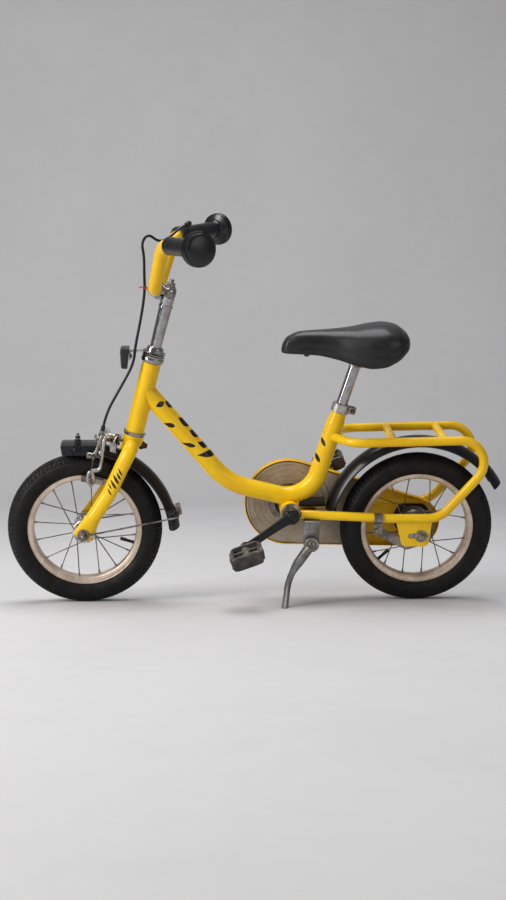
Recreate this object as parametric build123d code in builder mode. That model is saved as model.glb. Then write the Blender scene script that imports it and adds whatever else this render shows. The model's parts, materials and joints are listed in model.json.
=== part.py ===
from build123d import *
import os
from math import asin, atan2, cos, radians, sin, sqrt, tan

# A child's bicycle leaning on its side stand.
# It is modelled upright: -X is forward, -Y is the rider's left, Z is up, and
# the rear wheel meets the ground at X = 0, Y = 0. The finished pieces are then
# leaned over together and centred on the floor below them.

# ---------------------------------------------------------------- dimensions
# Stance
lean_angle = 11.9
wheelbase = 649
front_x = -wheelbase

# Wheels
tyre_od = 300
axle_z = tyre_od / 2
tyre_width = 50
tyre_height = 45.6
tyre_wall = 4.5
rim_od = tyre_od - 76.4
rim_depth = 13
rim_width = 32
rim_wall = 2.5
spoke_count = 16
spoke_radius = 1.1
spoke_lace = 40
spoke_inset = 3
spoke_rim_y = 4
valve_radius = 3.2
valve_length = 28
axle_radius = 5
nut_radius = 9
nut_thick = 9
washer_radius = 12
washer_thick = 2
thread_radius = 4.76
thread_stub = 6

# Room that the mudguards' crowns leave over the tyres
rear_guard_room = 34.5
front_guard_room = 32
rear_guard_radius = tyre_od / 2 + rear_guard_room
front_guard_radius = tyre_od / 2 + front_guard_room

# Front hub
front_hub_radius = 14
front_flange_radius = 23
front_flange_y = 27

# Rear hub, with its coaster brake
rear_hub_radius = 24
rear_flange_radius = 32
rear_flange_y = 29
flange_thick = 3
rear_hub_left = 54
rear_hub_right = 42
cone_radius = 11
cone_thick = 3
hub_gap = 0.4

# Running fits
hub_play = 0.06
fixed_play = 0.05

# Steering column, in the plane of symmetry
head_angle = 14
head_foot_x = front_x + 98.5
head_over_tyre = 44
head_foot_z = axle_z + tyre_od / 2 + head_over_tyre
head_length = 138
head_radius = 18
head_wall = 2.5
steerer_radius = 12.7
quill_radius = 11.1
quill_foot = 80
quill_height = 258
cup_radius = 22
lower_cup_height = 7
upper_cup_height = 15
locknut_height = 16
locknut_radius = 17
bar_twist = 6

# Fork
leg_width = 29
leg_depth = 22
leg_y = 45
crown_drop = 17
crown_gap = 0.4
leg_shoulder = 24
leg_knee = (front_x + 74.5, axle_z + 135)
leg_shin = (front_x + 50, axle_z + 82)
leg_foot = (front_x + 18, axle_z + 33)
leg_knee_radius = 110
leg_shin_radius = 100
leg_end_flare = 4
fork_end_thick = 6

# Main tube, which curves up behind as the seat tube
tube_radius = 17.6
joint_height = 84
main_tube_angle = 49.5
seat_tube_angle = 17.3
front_corner_x = head_foot_x + 178.5
seat_tube_room = 29.1
rear_corner_x = -rear_guard_radius - seat_tube_room
rear_corner_z = axle_z + 51.4
front_bend_radius = 120
rear_bend_radius = 65
seat_tube_top_z = axle_z + 246
swage_high_z = seat_tube_top_z - 12
swage_low_z = seat_tube_top_z - 38
seat_tube_top_radius = 14
seat_post_radius = 11.1
seat_socket_z = seat_tube_top_z - 96
seat_post_top_z = seat_tube_top_z + 104
seat_clamp_wall = 3
seat_clamp_height = 15
seat_clamp_ear = 9
seat_clamp_drop = 6

# Bottom bracket and cranks
bb_ahead = 36.4
bb_x = rear_corner_x - bb_ahead
bb_z = axle_z + 38
bb_radius = 20
bb_half = 34
bb_bore = 16.5
crank_axle_radius = 8
crank_length = 105
crank_start_angle = 212.8
crank_boss_radius = 16
crank_tip_radius = 11
left_boss_y = 50
right_boss_y = 66
crank_boss_thick = 15
crank_arm_width = 20
crank_arm_depth = 13
crank_tip_y = 69
crank_tip_thick = 11
right_tip_y = 78
pedal_gap = 9
pedal_length = 60
pedal_width = 68
pedal_height = 26
pedal_tilt = 20
pedal_window = 16
pedal_round = 6
spindle_radius = 5

# Rear loops: chain stay, bend and rack rail in one tube
loop_radius = 8.75
loop_y = 62.5
stay_z = axle_z + 35
stay_front_x = bb_x + 14
stay_front_y = 38
stay_spread_x = -60
stay_spread_radius = 80
stay_corner_x = 35.2
loop_rise_angle = 48.8
loop_bend_radius = 45
stay_bend_radius = 50
rail_front_z = axle_z + rear_guard_radius
rail_climb = 7
rail_rear_z = rail_front_z + rail_climb
rail_front_x = -135
rail_turn_radius = 45
rail_end_y = 6
cross_tube_radius = 8
cross_tube_xs = (-57, 41)

# Rear ends
dropout_thick = 4
dropout_front_x = -49
dropout_rear_x = 21
dropout_foot_z = axle_z - 21
dropout_lip = 5
dropout_taper = 13
dropout_heel = 6
slot_front_x = -25
slot_rear_x = 14
slot_half = 5.3
brake_arm_thick = 3
brake_disc_radius = 20
arm_bend = (-26, axle_z - 20)
arm_bend_radius = 9
arm_clamp_x = -83.5
arm_clamp_rise = 9
arm_clamp_width = 16
arm_clamp_wall = 2
clamp_tab_thick = 8
clamp_tab_height = 28

# Chain case
case_inner_y = 38
case_depth = 22
case_wall = 1.6
case_front_radius = 86.5
case_rear_radius = 50
case_rear_x = 3
case_rear_z = axle_z - 4
case_room = 2

# Mudguards, as radii about their own centres and angles from the rear, upwards
guard_sheet = 2
guard_half = 29
guard_shoulder = 14
guard_lip = 17
rear_guard_angles = (29.5, 168)
rear_guard_end = 41
guard_end_thick = 3
front_guard_angles = (5, 80)
front_guard_x = front_x - 1
front_guard_z = axle_z - 10
flap_angles = (4, 17)
flap_thick = 3.5
nose_tip_x = front_x - 44
nose_tail_x = front_x + 33
nose_rake = 8
nose_depth = 20
nose_half = 26
nose_wall = 3
nose_round = 7
nose_boss_x = front_x - 14
nose_boss_radius = 10
nose_boss_thick = 3
nose_stud_x = front_x - 11
nose_stud_radius = 3
nose_nut_radius = 5.5
nose_nut_thick = 6
nose_stud_rise = 18
clip_radius = 4
strut_height = 13
strut_width = 24
strut_z = bb_z + 13
strut_front_x = bb_x + 14
strut_end_room = 3.5
strut_rear_x = -rear_guard_radius + strut_end_room

# Side stand
stand_room = 25
stand_x = -rear_guard_radius - stand_room
stand_y = 38
stand_z = axle_z - 22
stand_rod_radius = 6.5
stand_head_radius = 15
stand_head_thick = 14
stand_knee = (stand_x - 43.5, -47, 64)
stand_foot = (stand_x - 56, -121, 18)
stand_knee_radius = 60
stand_play = 0.3
bracket_width = 31
bracket_left = 51
bracket_right = 36
bracket_thick = 5
hanger_thick = 12
pivot_bolt_radius = 5
bolt_head_radius = 9
bolt_head_thick = 4

# Saddle stations from the top of its post: place along, half width, underside, top
saddle_stations = (
    (-150.4, 7, -1, 7),
    (-140.4, 19, -3, 28),
    (-119.4, 24, -3.5, 38.5),
    (-79.4, 29, -5, 41.5),
    (-44.4, 40, -13, 43.5),
    (-12.4, 58, -20, 47),
    (16.6, 70, -23, 53),
    (45.6, 75, -18, 56),
    (70.6, 68, -6, 51),
    (87.6, 48, 7, 38),
    (93.1, 26, 15, 27),
)

# Handlebar, as it stands before its twist
bar_radius = 12.7
bar_forward = 25
bar_height = 278
bar_bottom_half = 35
bar_shoulder_behind = 67
bar_shoulder_half = 96
bar_shoulder_rise = 365
bar_end_behind = 146.5
bar_end_half = 223
bar_end_rise = 370
bar_shoulder = (head_foot_x + bar_shoulder_behind, bar_shoulder_half, head_foot_z + bar_shoulder_rise)
bar_end = (head_foot_x + bar_end_behind, bar_end_half, head_foot_z + bar_end_rise)
bar_foot_radius = 30
bar_shoulder_radius = 45
bar_clamp_wall = 4
bar_clamp_half = 17.5
stem_collar = 12
stem_bolt_radius = 7
stem_bolt_height = 12
grip_radius = 16.5
grip_length = 106
knob_radius = 31.5
knob_length = 24
knob_round = 10
grip_end_thick = 6
lever_radius = 4
lever_seat_half = 109
lever_seat_width = 14
lever_pivot_way = (-16.6, 9, -9.5)
lever_knuckle_way = (-16.6, 29, -17.5)
lever_tip_way = (13.4, 96, -25.5)
lever_knuckle_radius = 20
ferrule_length = 9

# Front brake, cable and lamp-height reflector
brake_height = -24
brake_reach = 52
brake_bolt_radius = 3
brake_bolt_tail = 27
arm_boss_radius = 6
arm_thick = 7
arm_gap = 0.4
arm_y = 40
arm_shoulder_z = head_foot_z - 2
arm_elbow = (head_foot_x - 62, head_foot_z - 55)
arm_wrist = (front_x + 16, axle_z + rim_od / 2 + 14.2)
arm_foot = (front_x + 15, axle_z + rim_od / 2 - 15.8)
arm_shoulder_radius = 8
arm_elbow_radius = 8
stay_wire_radius = 1.6
stay_hold_angle = 12.5
stay_hold_half = 36
stay_fold_radius = 8
stay_block_angle = 14.5
stay_block_thick = 9
stay_block_width = 16
stay_block_height = 20
pad_x = front_x + 17
pad_z = axle_z + rim_od / 2 - 9.8
pad_tilt = 10
pad_length = 42
pad_height = 10
pad_gap = 1.5
pad_thick = 9
pad_stud_radius = 3.5
cable_radius = 2.6
cable_bend_share = 0.45
# The cable's route: behind, beside and above the head tube's foot
cable_route = (
    (99.5, 100, 384),
    (84.5, 80, 378),
    (66.5, 57, 363),
    (47.5, 33, 358),
    (28, 16.5, 376),
    (15.5, 6, 360),
    (20.5, 2, 336),
    (20.5, -2, 306),
    (21.5, -5, 268),
    (13.5, -8, 218),
    (3, -13, 169),
    (-0.5, -16, 134),
    (-27.5, -20, 86),
    (-53.5, -26, 41),
    (-60.5, -28, 8),
)
cable_stop_way = (-3, 0, -15)
reflector_x = head_foot_x - 17.5
reflector_z = head_foot_z + 144
reflector_strip_z = reflector_z + 12.5
reflector_width = 46
reflector_height = 40
reflector_depth = 16
reflector_strip_width = 18
reflector_strip_thick = 3
guard_bolt_radius = 5


# ------------------------------------------------------------------- helpers
def on_column(height, forward=0.0, side=0.0):
    """A point of the steering column, by its height above the head tube's foot."""
    lean = radians(head_angle)
    x = head_foot_x + height * sin(lean) - forward * cos(lean)
    z = head_foot_z + height * cos(lean) + forward * sin(lean)
    return (x, side, z)


def on_seat_tube(z):
    """The point of the seat tube's axis at a height."""
    return (rear_corner_x + tan(radians(seat_tube_angle)) * (z - rear_corner_z), 0, z)


def side_plane(y):
    """A plane facing the rider's left: its X runs backwards and its Y runs up."""
    return Plane(origin=(0, y, 0), x_dir=(1, 0, 0), z_dir=(0, -1, 0))


def rod(points, radius, bends=None):
    """A round bar along straight runs, joined by arcs of the given radii."""
    with BuildLine() as path:
        if bends is None:
            Polyline(*points)
        else:
            FilletPolyline(*points, radius=bends)
    with BuildSketch(Plane(origin=path.line @ 0, z_dir=path.line % 0)) as section:
        Circle(radius)
    return sweep(section.sketch, path=path.line)


def barrel(start, end, radius, mode=Mode.ADD):
    """A straight cylinder from one point to another."""
    reach = Vector(*end) - Vector(*start)
    with BuildSketch(Plane(origin=start, z_dir=reach)) as section:
        Circle(radius)
    return extrude(section.sketch, amount=reach.length, mode=mode)


def ring(x, z, y_from, y_to, radius, bore=None, mode=Mode.ADD):
    """A disc or ring about a crosswise axis, from one Y to another."""
    low = min(y_from, y_to)
    with BuildSketch(Plane(origin=(x, low, z), x_dir=(1, 0, 0), z_dir=(0, 1, 0))) as section:
        Circle(radius)
        if bore is not None:
            Circle(bore, mode=Mode.SUBTRACT)
    return extrude(section.sketch, amount=abs(y_to - y_from), mode=mode)


def side_name(side):
    """The name of the side on which Y has this sign."""
    return "left" if side < 0 else "right"


def turned(point):
    """A handlebar point, turned with the stem about the steering column."""
    foot = Vector(*on_column(0))
    return tuple(foot + (Vector(*point) - foot).rotate(column_axis, -bar_twist))


column_direction = Vector(sin(radians(head_angle)), 0, cos(radians(head_angle)))
column_axis = Axis((0, 0, 0), column_direction)
cable_points = []
for behind, beside, above in cable_route:
    cable_points.append((head_foot_x + behind, beside, head_foot_z + above))
pieces = {}

# ---------------------------------------------------------------- head tube
with BuildPart() as head_tube:
    with BuildSketch(Plane(origin=on_column(0), z_dir=column_direction)) as head_section:
        Circle(head_radius)
        Circle(head_radius - head_wall, mode=Mode.SUBTRACT)
    extrude(head_section.sketch, amount=head_length)
pieces["head_tube"] = head_tube

with BuildPart() as headset_cups:
    cup_bore = steerer_radius + hub_play
    for foot, top in ((-lower_cup_height, 0), (head_length, head_length + upper_cup_height)):
        barrel(on_column(foot), on_column(top), cup_radius)
    barrel(
        on_column(-lower_cup_height - 1),
        on_column(head_length + upper_cup_height + 1),
        cup_bore,
        mode=Mode.SUBTRACT,
    )
pieces["headset_cups"] = headset_cups

# ----------------------------------------- main tube, curving up as seat tube
joint_x, _, joint_z = on_column(joint_height)
front_corner_z = joint_z - tan(radians(main_tube_angle)) * (front_corner_x - joint_x)
seat_direction = Vector(sin(radians(seat_tube_angle)), 0, cos(radians(seat_tube_angle)))

with BuildPart() as main_tube:
    rod(
        (
            (joint_x, 0, joint_z),
            (front_corner_x, 0, front_corner_z),
            (rear_corner_x, 0, rear_corner_z),
            on_seat_tube(swage_low_z),
        ),
        tube_radius,
        (front_bend_radius, rear_bend_radius),
    )
    with BuildSketch(Plane(origin=on_seat_tube(swage_low_z), z_dir=seat_direction)) as swage_foot:
        Circle(tube_radius)
    with BuildSketch(Plane(origin=on_seat_tube(swage_high_z), z_dir=seat_direction)) as swage_head:
        Circle(seat_tube_top_radius)
    loft(sections=[swage_foot.sketch, swage_head.sketch])
    barrel(on_seat_tube(swage_high_z), on_seat_tube(seat_tube_top_z), seat_tube_top_radius)
    barrel(
        on_seat_tube(seat_socket_z),
        on_seat_tube(seat_tube_top_z + 1),
        seat_post_radius + fixed_play,
        mode=Mode.SUBTRACT,
    )
    # The lug that carries the bottom bracket under the bend
    with BuildSketch(Plane.XY.offset(bb_z)) as lug:
        with Locations((bb_x, 0)):
            Rectangle(2 * bb_radius - 6, 2 * tube_radius - 8)
    extrude(lug.sketch, amount=tube_radius + 8)
    ring(bb_x, bb_z, -bb_half - 1, bb_half + 1, bb_radius, mode=Mode.SUBTRACT)
    barrel(on_column(-1), on_column(head_length + 1), head_radius, mode=Mode.SUBTRACT)
pieces["main_tube"] = main_tube

with BuildPart() as bottom_bracket_shell:
    ring(bb_x, bb_z, -bb_half, bb_half, bb_radius, bb_bore)
pieces["bottom_bracket_shell"] = bottom_bracket_shell

with BuildPart() as bottom_bracket_cups:
    for side in (-1, 1):
        ring(
            bb_x,
            bb_z,
            side * (bb_half - 10),
            side * (bb_half + 2),
            bb_bore,
            crank_axle_radius + hub_play,
        )
pieces["bottom_bracket_cups"] = bottom_bracket_cups

# --------------------------------------------------------------- rear loops
loop_rise = tan(radians(loop_rise_angle))
loop_corner_x = stay_corner_x + (rail_rear_z - stay_z) / loop_rise
rail_inner_x = on_seat_tube(rail_front_z)[0]
for side in (-1, 1):
    with BuildPart() as rear_loop:
        rod(
            (
                (bb_x, side * (bb_half - 6), stay_z),
                (stay_spread_x, side * loop_y, stay_z),
                (stay_corner_x, side * loop_y, stay_z),
                (loop_corner_x, side * loop_y, rail_rear_z),
                (rail_front_x, side * loop_y, rail_front_z),
                (rail_inner_x, side * rail_end_y, rail_front_z),
            ),
            loop_radius,
            (stay_spread_radius, stay_bend_radius, loop_bend_radius, rail_turn_radius),
        )
        add(main_tube.part, mode=Mode.SUBTRACT)
        barrel(
            on_seat_tube(rail_front_z - 40),
            on_seat_tube(rail_front_z + 40),
            tube_radius,
            mode=Mode.SUBTRACT,
        )
        ring(bb_x, bb_z, -2 * bb_half, 2 * bb_half, bb_radius, mode=Mode.SUBTRACT)
    pieces["rear_loop_" + side_name(side)] = rear_loop

with BuildPart() as rack_cross_tubes:
    rail_slope = (rail_rear_z - rail_front_z) / (loop_corner_x - rail_front_x)
    for tube_x in cross_tube_xs:
        tube_z = rail_front_z + rail_slope * (tube_x - rail_front_x)
        ring(tube_x, tube_z, -loop_y, loop_y, cross_tube_radius)
    for side in (-1, 1):
        add(pieces["rear_loop_" + side_name(side)].part, mode=Mode.SUBTRACT)
pieces["rack_cross_tubes"] = rack_cross_tubes

with BuildPart() as dropouts:
    for side in (-1, 1):
        with BuildSketch(side_plane(side * loop_y + dropout_thick / 2)) as plate:
            with BuildLine():
                FilletPolyline(
                    (dropout_front_x, stay_z),
                    (dropout_front_x, stay_z - dropout_lip),
                    (dropout_front_x + dropout_taper, dropout_foot_z),
                    (dropout_rear_x - dropout_heel, dropout_foot_z),
                    (dropout_rear_x, stay_z - dropout_lip),
                    (dropout_rear_x, stay_z),
                    radius=(2, 10, 8, 2),
                )
                Line((dropout_rear_x, stay_z), (dropout_front_x, stay_z))
            make_face()
            with Locations(((slot_front_x + slot_rear_x) / 2, axle_z)):
                SlotOverall(slot_rear_x - slot_front_x, 2 * slot_half, mode=Mode.SUBTRACT)
        extrude(plate.sketch, amount=dropout_thick)
        add(pieces["rear_loop_" + side_name(side)].part, mode=Mode.SUBTRACT)
pieces["dropouts"] = dropouts

# --------------------------------------------------- seat clamp, post, saddle
with BuildPart() as seat_clamp:
    clamp_foot_z = seat_tube_top_z - seat_clamp_height
    collar_radius = seat_tube_top_radius + seat_clamp_wall
    barrel(on_seat_tube(clamp_foot_z), on_seat_tube(seat_tube_top_z + 2), collar_radius)
    ear = on_seat_tube(seat_tube_top_z - seat_clamp_height / 2)
    ear_tip = (ear[0] + collar_radius + seat_clamp_ear, 0, ear[2] - seat_clamp_drop)
    barrel(ear, ear_tip, seat_clamp_height / 2 - 1)
    add(main_tube.part, mode=Mode.SUBTRACT)
    barrel(
        on_seat_tube(clamp_foot_z - 5),
        on_seat_tube(seat_tube_top_z + 5),
        seat_post_radius + fixed_play,
        mode=Mode.SUBTRACT,
    )
pieces["seat_clamp"] = seat_clamp

with BuildPart() as seat_post:
    barrel(on_seat_tube(seat_socket_z + 8), on_seat_tube(seat_post_top_z), seat_post_radius)
pieces["seat_post"] = seat_post

with BuildPart() as saddle:
    slices = []
    post_top = on_seat_tube(seat_post_top_z)
    for behind, half_width, underside, top in saddle_stations:
        crown = top - underside
        foot = (post_top[0] + behind, 0, post_top[2] + underside)
        station = Plane(origin=foot, x_dir=(0, 1, 0), z_dir=(1, 0, 0))
        with BuildSketch(station) as cut:
            with BuildLine():
                Spline(
                    (half_width, 0),
                    (0, crown),
                    (-half_width, 0),
                    tangents=((0, 1), (-1, 0), (0, -1)),
                )
                Line((-half_width, 0), (half_width, 0))
            make_face()
        slices.append(cut.sketch)
    loft(sections=slices)
    add(seat_post.part, mode=Mode.SUBTRACT)
pieces["saddle"] = saddle


# ---------------------------------------------------------------- mudguards
def guard(centre, radius, angles, outset=0, sheet=guard_sheet):
    """A sheet arched over a wheel between two angles, or a band wrapped round one."""
    start_angle, end_angle = angles
    outward = Vector(cos(radians(start_angle)), 0, sin(radians(start_angle)))
    across = Vector(0, 1, 0)
    section = Plane(origin=centre, x_dir=outward, z_dir=outward.cross(across))
    shoulder = radius - guard_shoulder
    lip = radius - guard_lip
    with BuildSketch(section) as arch:
        for grow, mode in ((outset, Mode.ADD), (outset - sheet, Mode.SUBTRACT)):
            half = guard_half + grow
            with BuildLine():
                Line((shoulder, -half), (lip, -half))
                Line((lip, -half), (lip, half))
                Line((lip, half), (shoulder, half))
                ThreePointArc((shoulder, half), (radius + grow, 0), (shoulder, -half))
            make_face(mode=mode)
    guard_axis = Axis(centre, (0, -1, 0))
    return revolve(arch.sketch, axis=guard_axis, revolution_arc=end_angle - start_angle)


rear_centre = (0, 0, axle_z)
front_centre = (front_guard_x, 0, front_guard_z)
with BuildPart() as rear_mudguard:
    guard(rear_centre, rear_guard_radius, rear_guard_angles)
    end_angles = (rear_guard_angles[0], rear_guard_end)
    guard(rear_centre, rear_guard_radius, end_angles, guard_end_thick, guard_end_thick)
pieces["rear_mudguard"] = rear_mudguard

with BuildPart() as mudguard_strut:
    with Locations(((strut_front_x + strut_rear_x) / 2, 0, strut_z)):
        Box(strut_rear_x - strut_front_x, strut_width, strut_height)
    ring(bb_x, bb_z, -bb_half, bb_half, bb_radius, mode=Mode.SUBTRACT)
    add(main_tube.part, mode=Mode.SUBTRACT)
    ring(0, axle_z, -guard_half, guard_half, rear_guard_radius + 1, mode=Mode.SUBTRACT)
pieces["mudguard_strut"] = mudguard_strut

with BuildPart() as front_mudguard:
    guard(front_centre, front_guard_radius, front_guard_angles)
pieces["front_mudguard"] = front_mudguard

with BuildPart() as front_guard_flap:
    guard(front_centre, front_guard_radius, flap_angles, flap_thick, flap_thick)
    add(front_mudguard.part, mode=Mode.SUBTRACT)
pieces["front_guard_flap"] = front_guard_flap

with BuildPart() as front_guard_nose:
    nose_top = front_guard_z + front_guard_radius
    nose_foot = nose_top - nose_depth
    for wall, mode in ((0, Mode.ADD), (nose_wall, Mode.SUBTRACT)):
        with BuildSketch(Plane(origin=(nose_tail_x, 0, 0), x_dir=(0, -1, 0), z_dir=(-1, 0, 0))) as hood:
            with BuildLine():
                half = nose_half - wall
                top = nose_top - wall
                FilletPolyline(
                    (-half, nose_foot),
                    (-half, top),
                    (half, top),
                    (half, nose_foot),
                    radius=nose_round - wall,
                )
                Line((half, nose_foot), (-half, nose_foot))
            make_face()
        extrude(hood.sketch, amount=nose_tail_x - nose_tip_x - wall, mode=mode)
    with BuildSketch(side_plane(-2 * nose_half)) as rake:
        with BuildLine():
            Polyline(
                (nose_tip_x - 1, nose_top + 1),
                (nose_tip_x, nose_top + 1),
                (nose_tip_x + nose_rake, nose_foot - 1),
                (nose_tip_x - 1, nose_foot - 1),
                (nose_tip_x - 1, nose_top + 1),
            )
        make_face()
    extrude(rake.sketch, amount=-4 * nose_half, mode=Mode.SUBTRACT)
    boss_z = nose_top - nose_depth / 2
    for side in (-1, 1):
        boss_face = side * nose_half
        ring(nose_boss_x, boss_z, boss_face, boss_face + side * nose_boss_thick, nose_boss_radius)
    stud_top = nose_top + nose_stud_rise
    barrel((nose_stud_x, 0, nose_top - 1), (nose_stud_x, 0, stud_top), nose_stud_radius)
    barrel((nose_stud_x, 0, nose_top), (nose_stud_x, 0, nose_top + nose_nut_thick), nose_nut_radius)
    add(front_mudguard.part, mode=Mode.SUBTRACT)
pieces["front_guard_nose"] = front_guard_nose


# --------------------------------------------------------------- chain case
def case_face(y, grow):
    """The outline round both sprockets, grown by a margin, filled on a side plane."""
    span_x = case_rear_x - bb_x
    span_z = case_rear_z - bb_z
    front = case_front_radius + grow
    rear = case_rear_radius + grow
    tilt = atan2(span_z, span_x)
    spread = asin((front - rear) / sqrt(span_x**2 + span_z**2))
    upper = tilt + radians(90) - spread
    lower = tilt - radians(90) + spread
    top_front = (bb_x + front * cos(upper), bb_z + front * sin(upper))
    low_front = (bb_x + front * cos(lower), bb_z + front * sin(lower))
    low_rear = (case_rear_x + rear * cos(lower), case_rear_z + rear * sin(lower))
    top_rear = (case_rear_x + rear * cos(upper), case_rear_z + rear * sin(upper))
    with BuildSketch(side_plane(y)) as face:
        with BuildLine():
            ThreePointArc(top_front, (bb_x - front, bb_z), low_front)
            Line(low_front, low_rear)
            ThreePointArc(low_rear, (case_rear_x + rear, case_rear_z), top_rear)
            Line(top_rear, top_front)
        make_face()
    return face.sketch


def cut_case_holes():
    """Room for the bottom bracket, the rear hub and the right chain stay."""
    inner = case_inner_y - 1
    outer = case_outer_y + 1
    ring(bb_x, bb_z, inner, outer, crank_boss_radius + case_room, mode=Mode.SUBTRACT)
    ring(0, axle_z, inner, outer, nut_radius + 3 * case_room, mode=Mode.SUBTRACT)
    add(pieces["rear_loop_right"].part, mode=Mode.SUBTRACT)


case_outer_y = case_inner_y + case_depth
with BuildPart() as chaincase_cover:
    extrude(case_face(case_outer_y, 0), amount=case_depth)
    extrude(case_face(case_outer_y - case_wall, -case_wall), amount=case_depth, mode=Mode.SUBTRACT)
    cut_case_holes()
pieces["chaincase_cover"] = chaincase_cover

with BuildPart() as chaincase_back:
    extrude(case_face(case_inner_y + case_wall, -case_wall), amount=case_wall)
    cut_case_holes()
pieces["chaincase_back"] = chaincase_back

# ----------------------------------------------------- rear axle, brake arm
dropout_face_y = loop_y + dropout_thick / 2
rear_nut_y = dropout_face_y + washer_thick + nut_thick
with BuildPart() as rear_axle:
    ring(0, axle_z, -rear_nut_y, rear_nut_y, axle_radius)
    for side in (-1, 1):
        ring(0, axle_z, side * rear_nut_y, side * (rear_nut_y + thread_stub), thread_radius)
pieces["rear_axle"] = rear_axle

with BuildPart() as rear_axle_nuts:
    for side in (-1, 1):
        seat = side * dropout_face_y
        rest = side * (dropout_face_y + washer_thick)
        ring(0, axle_z, seat, rest, washer_radius, axle_radius)
        ring(0, axle_z, rest, rest + side * nut_thick, nut_radius, axle_radius)
    right_inner = loop_y - dropout_thick / 2
    left_inner = right_inner - brake_arm_thick
    ring(0, axle_z, rear_hub_right + hub_gap, right_inner, nut_radius, axle_radius)
    ring(0, axle_z, -left_inner, -rear_hub_left - hub_gap, nut_radius, axle_radius)
pieces["rear_axle_nuts"] = rear_axle_nuts

brake_arm_y = loop_y - dropout_thick / 2
with BuildPart() as brake_arm:
    arm_start = ((0, axle_z), brake_disc_radius)
    arm_middle = (arm_bend, arm_bend_radius)
    arm_end = ((arm_clamp_x, axle_z + arm_clamp_rise), arm_clamp_width / 2)
    for ends in ((arm_start, arm_middle), (arm_middle, arm_end)):
        with BuildSketch(side_plane(-brake_arm_y + brake_arm_thick)) as strap:
            for centre, radius in ends:
                with Locations(centre):
                    Circle(radius)
            make_hull()
        extrude(strap.sketch, amount=brake_arm_thick)
    ring(0, axle_z, -brake_arm_y - 1, -brake_arm_y + 5, axle_radius, mode=Mode.SUBTRACT)
pieces["brake_arm"] = brake_arm

with BuildPart() as brake_arm_clamp:
    clamp_front = (arm_clamp_x - arm_clamp_width / 2, -loop_y, stay_z)
    with BuildSketch(Plane(origin=clamp_front, x_dir=(0, 1, 0), z_dir=(1, 0, 0))) as band:
        Circle(loop_radius + arm_clamp_wall)
        with Locations((dropout_thick / 2 - 1, -loop_radius - clamp_tab_thick)):
            Rectangle(clamp_tab_thick, clamp_tab_height)
        Circle(loop_radius, mode=Mode.SUBTRACT)
    extrude(band.sketch, amount=arm_clamp_width)
    add(brake_arm.part, mode=Mode.SUBTRACT)
    add(pieces["rear_loop_left"].part, mode=Mode.SUBTRACT)
pieces["brake_arm_clamp"] = brake_arm_clamp

# ------------------------------------------------------------ stand bracket
bracket_top = stay_z - loop_radius
stand_face_y = stand_y + stand_head_thick
with BuildPart() as stand_bracket:
    with Locations((stand_x, (bracket_right - bracket_left) / 2, bracket_top - bracket_thick / 2)):
        Box(bracket_width, bracket_right + bracket_left, bracket_thick)
    with BuildSketch(side_plane(-stand_y + hanger_thick)) as hanger:
        with Locations((stand_x, (bracket_top + stand_z) / 2)):
            Rectangle(bracket_width, bracket_top - stand_z)
        with Locations((stand_x, stand_z)):
            Circle(bracket_width / 2)
    extrude(hanger.sketch, amount=hanger_thick)
    ring(stand_x, stand_z, -stand_y - 1, -stand_y + 20, pivot_bolt_radius, mode=Mode.SUBTRACT)
pieces["stand_bracket"] = stand_bracket

with BuildPart() as stand_pivot_bolt:
    ring(stand_x, stand_z, -stand_face_y, -stand_y + hanger_thick, pivot_bolt_radius)
    ring(stand_x, stand_z, -stand_face_y - bolt_head_thick, -stand_face_y, bolt_head_radius)
pieces["stand_pivot_bolt"] = stand_pivot_bolt

# --------------------------------------------------------------- side stand
# The leaned tyres roll on the flanks of their sections, which sets the floor
lean = radians(lean_angle)
section_reach = sqrt((tyre_height / 2 * cos(lean)) ** 2 + (tyre_width / 2 * sin(lean)) ** 2)
floor_rise = section_reach - tyre_height / 2 * cos(lean)
floor_up = Vector(0, sin(lean), cos(lean))

with BuildPart() as side_stand_leg:
    ring(
        stand_x,
        stand_z,
        -stand_face_y + stand_play,
        -stand_y - stand_play,
        stand_head_radius,
    )
    rod(
        ((stand_x, -stand_y - stand_rod_radius - stand_play, stand_z), stand_knee, stand_foot),
        stand_rod_radius,
        (stand_knee_radius,),
    )
    ring(
        stand_x,
        stand_z,
        -stand_face_y - 1,
        -stand_y + 1,
        pivot_bolt_radius + hub_play,
        mode=Mode.SUBTRACT,
    )
    with BuildSketch(Plane(origin=floor_up * -floor_rise, z_dir=floor_up)) as floor_cut:
        Rectangle(4 * wheelbase, 4 * wheelbase)
    extrude(floor_cut.sketch, amount=-60, mode=Mode.SUBTRACT)
pieces["side_stand_leg"] = side_stand_leg

# --------------------------------------------------------------------- fork
brake_bolt_front = on_column(brake_height, brake_reach)
brake_bolt_back = on_column(brake_height, -brake_bolt_tail)
crown_top = -lower_cup_height - crown_gap
crown_middle = -lower_cup_height - crown_drop
steerer_top = head_length + upper_cup_height + crown_gap

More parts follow.
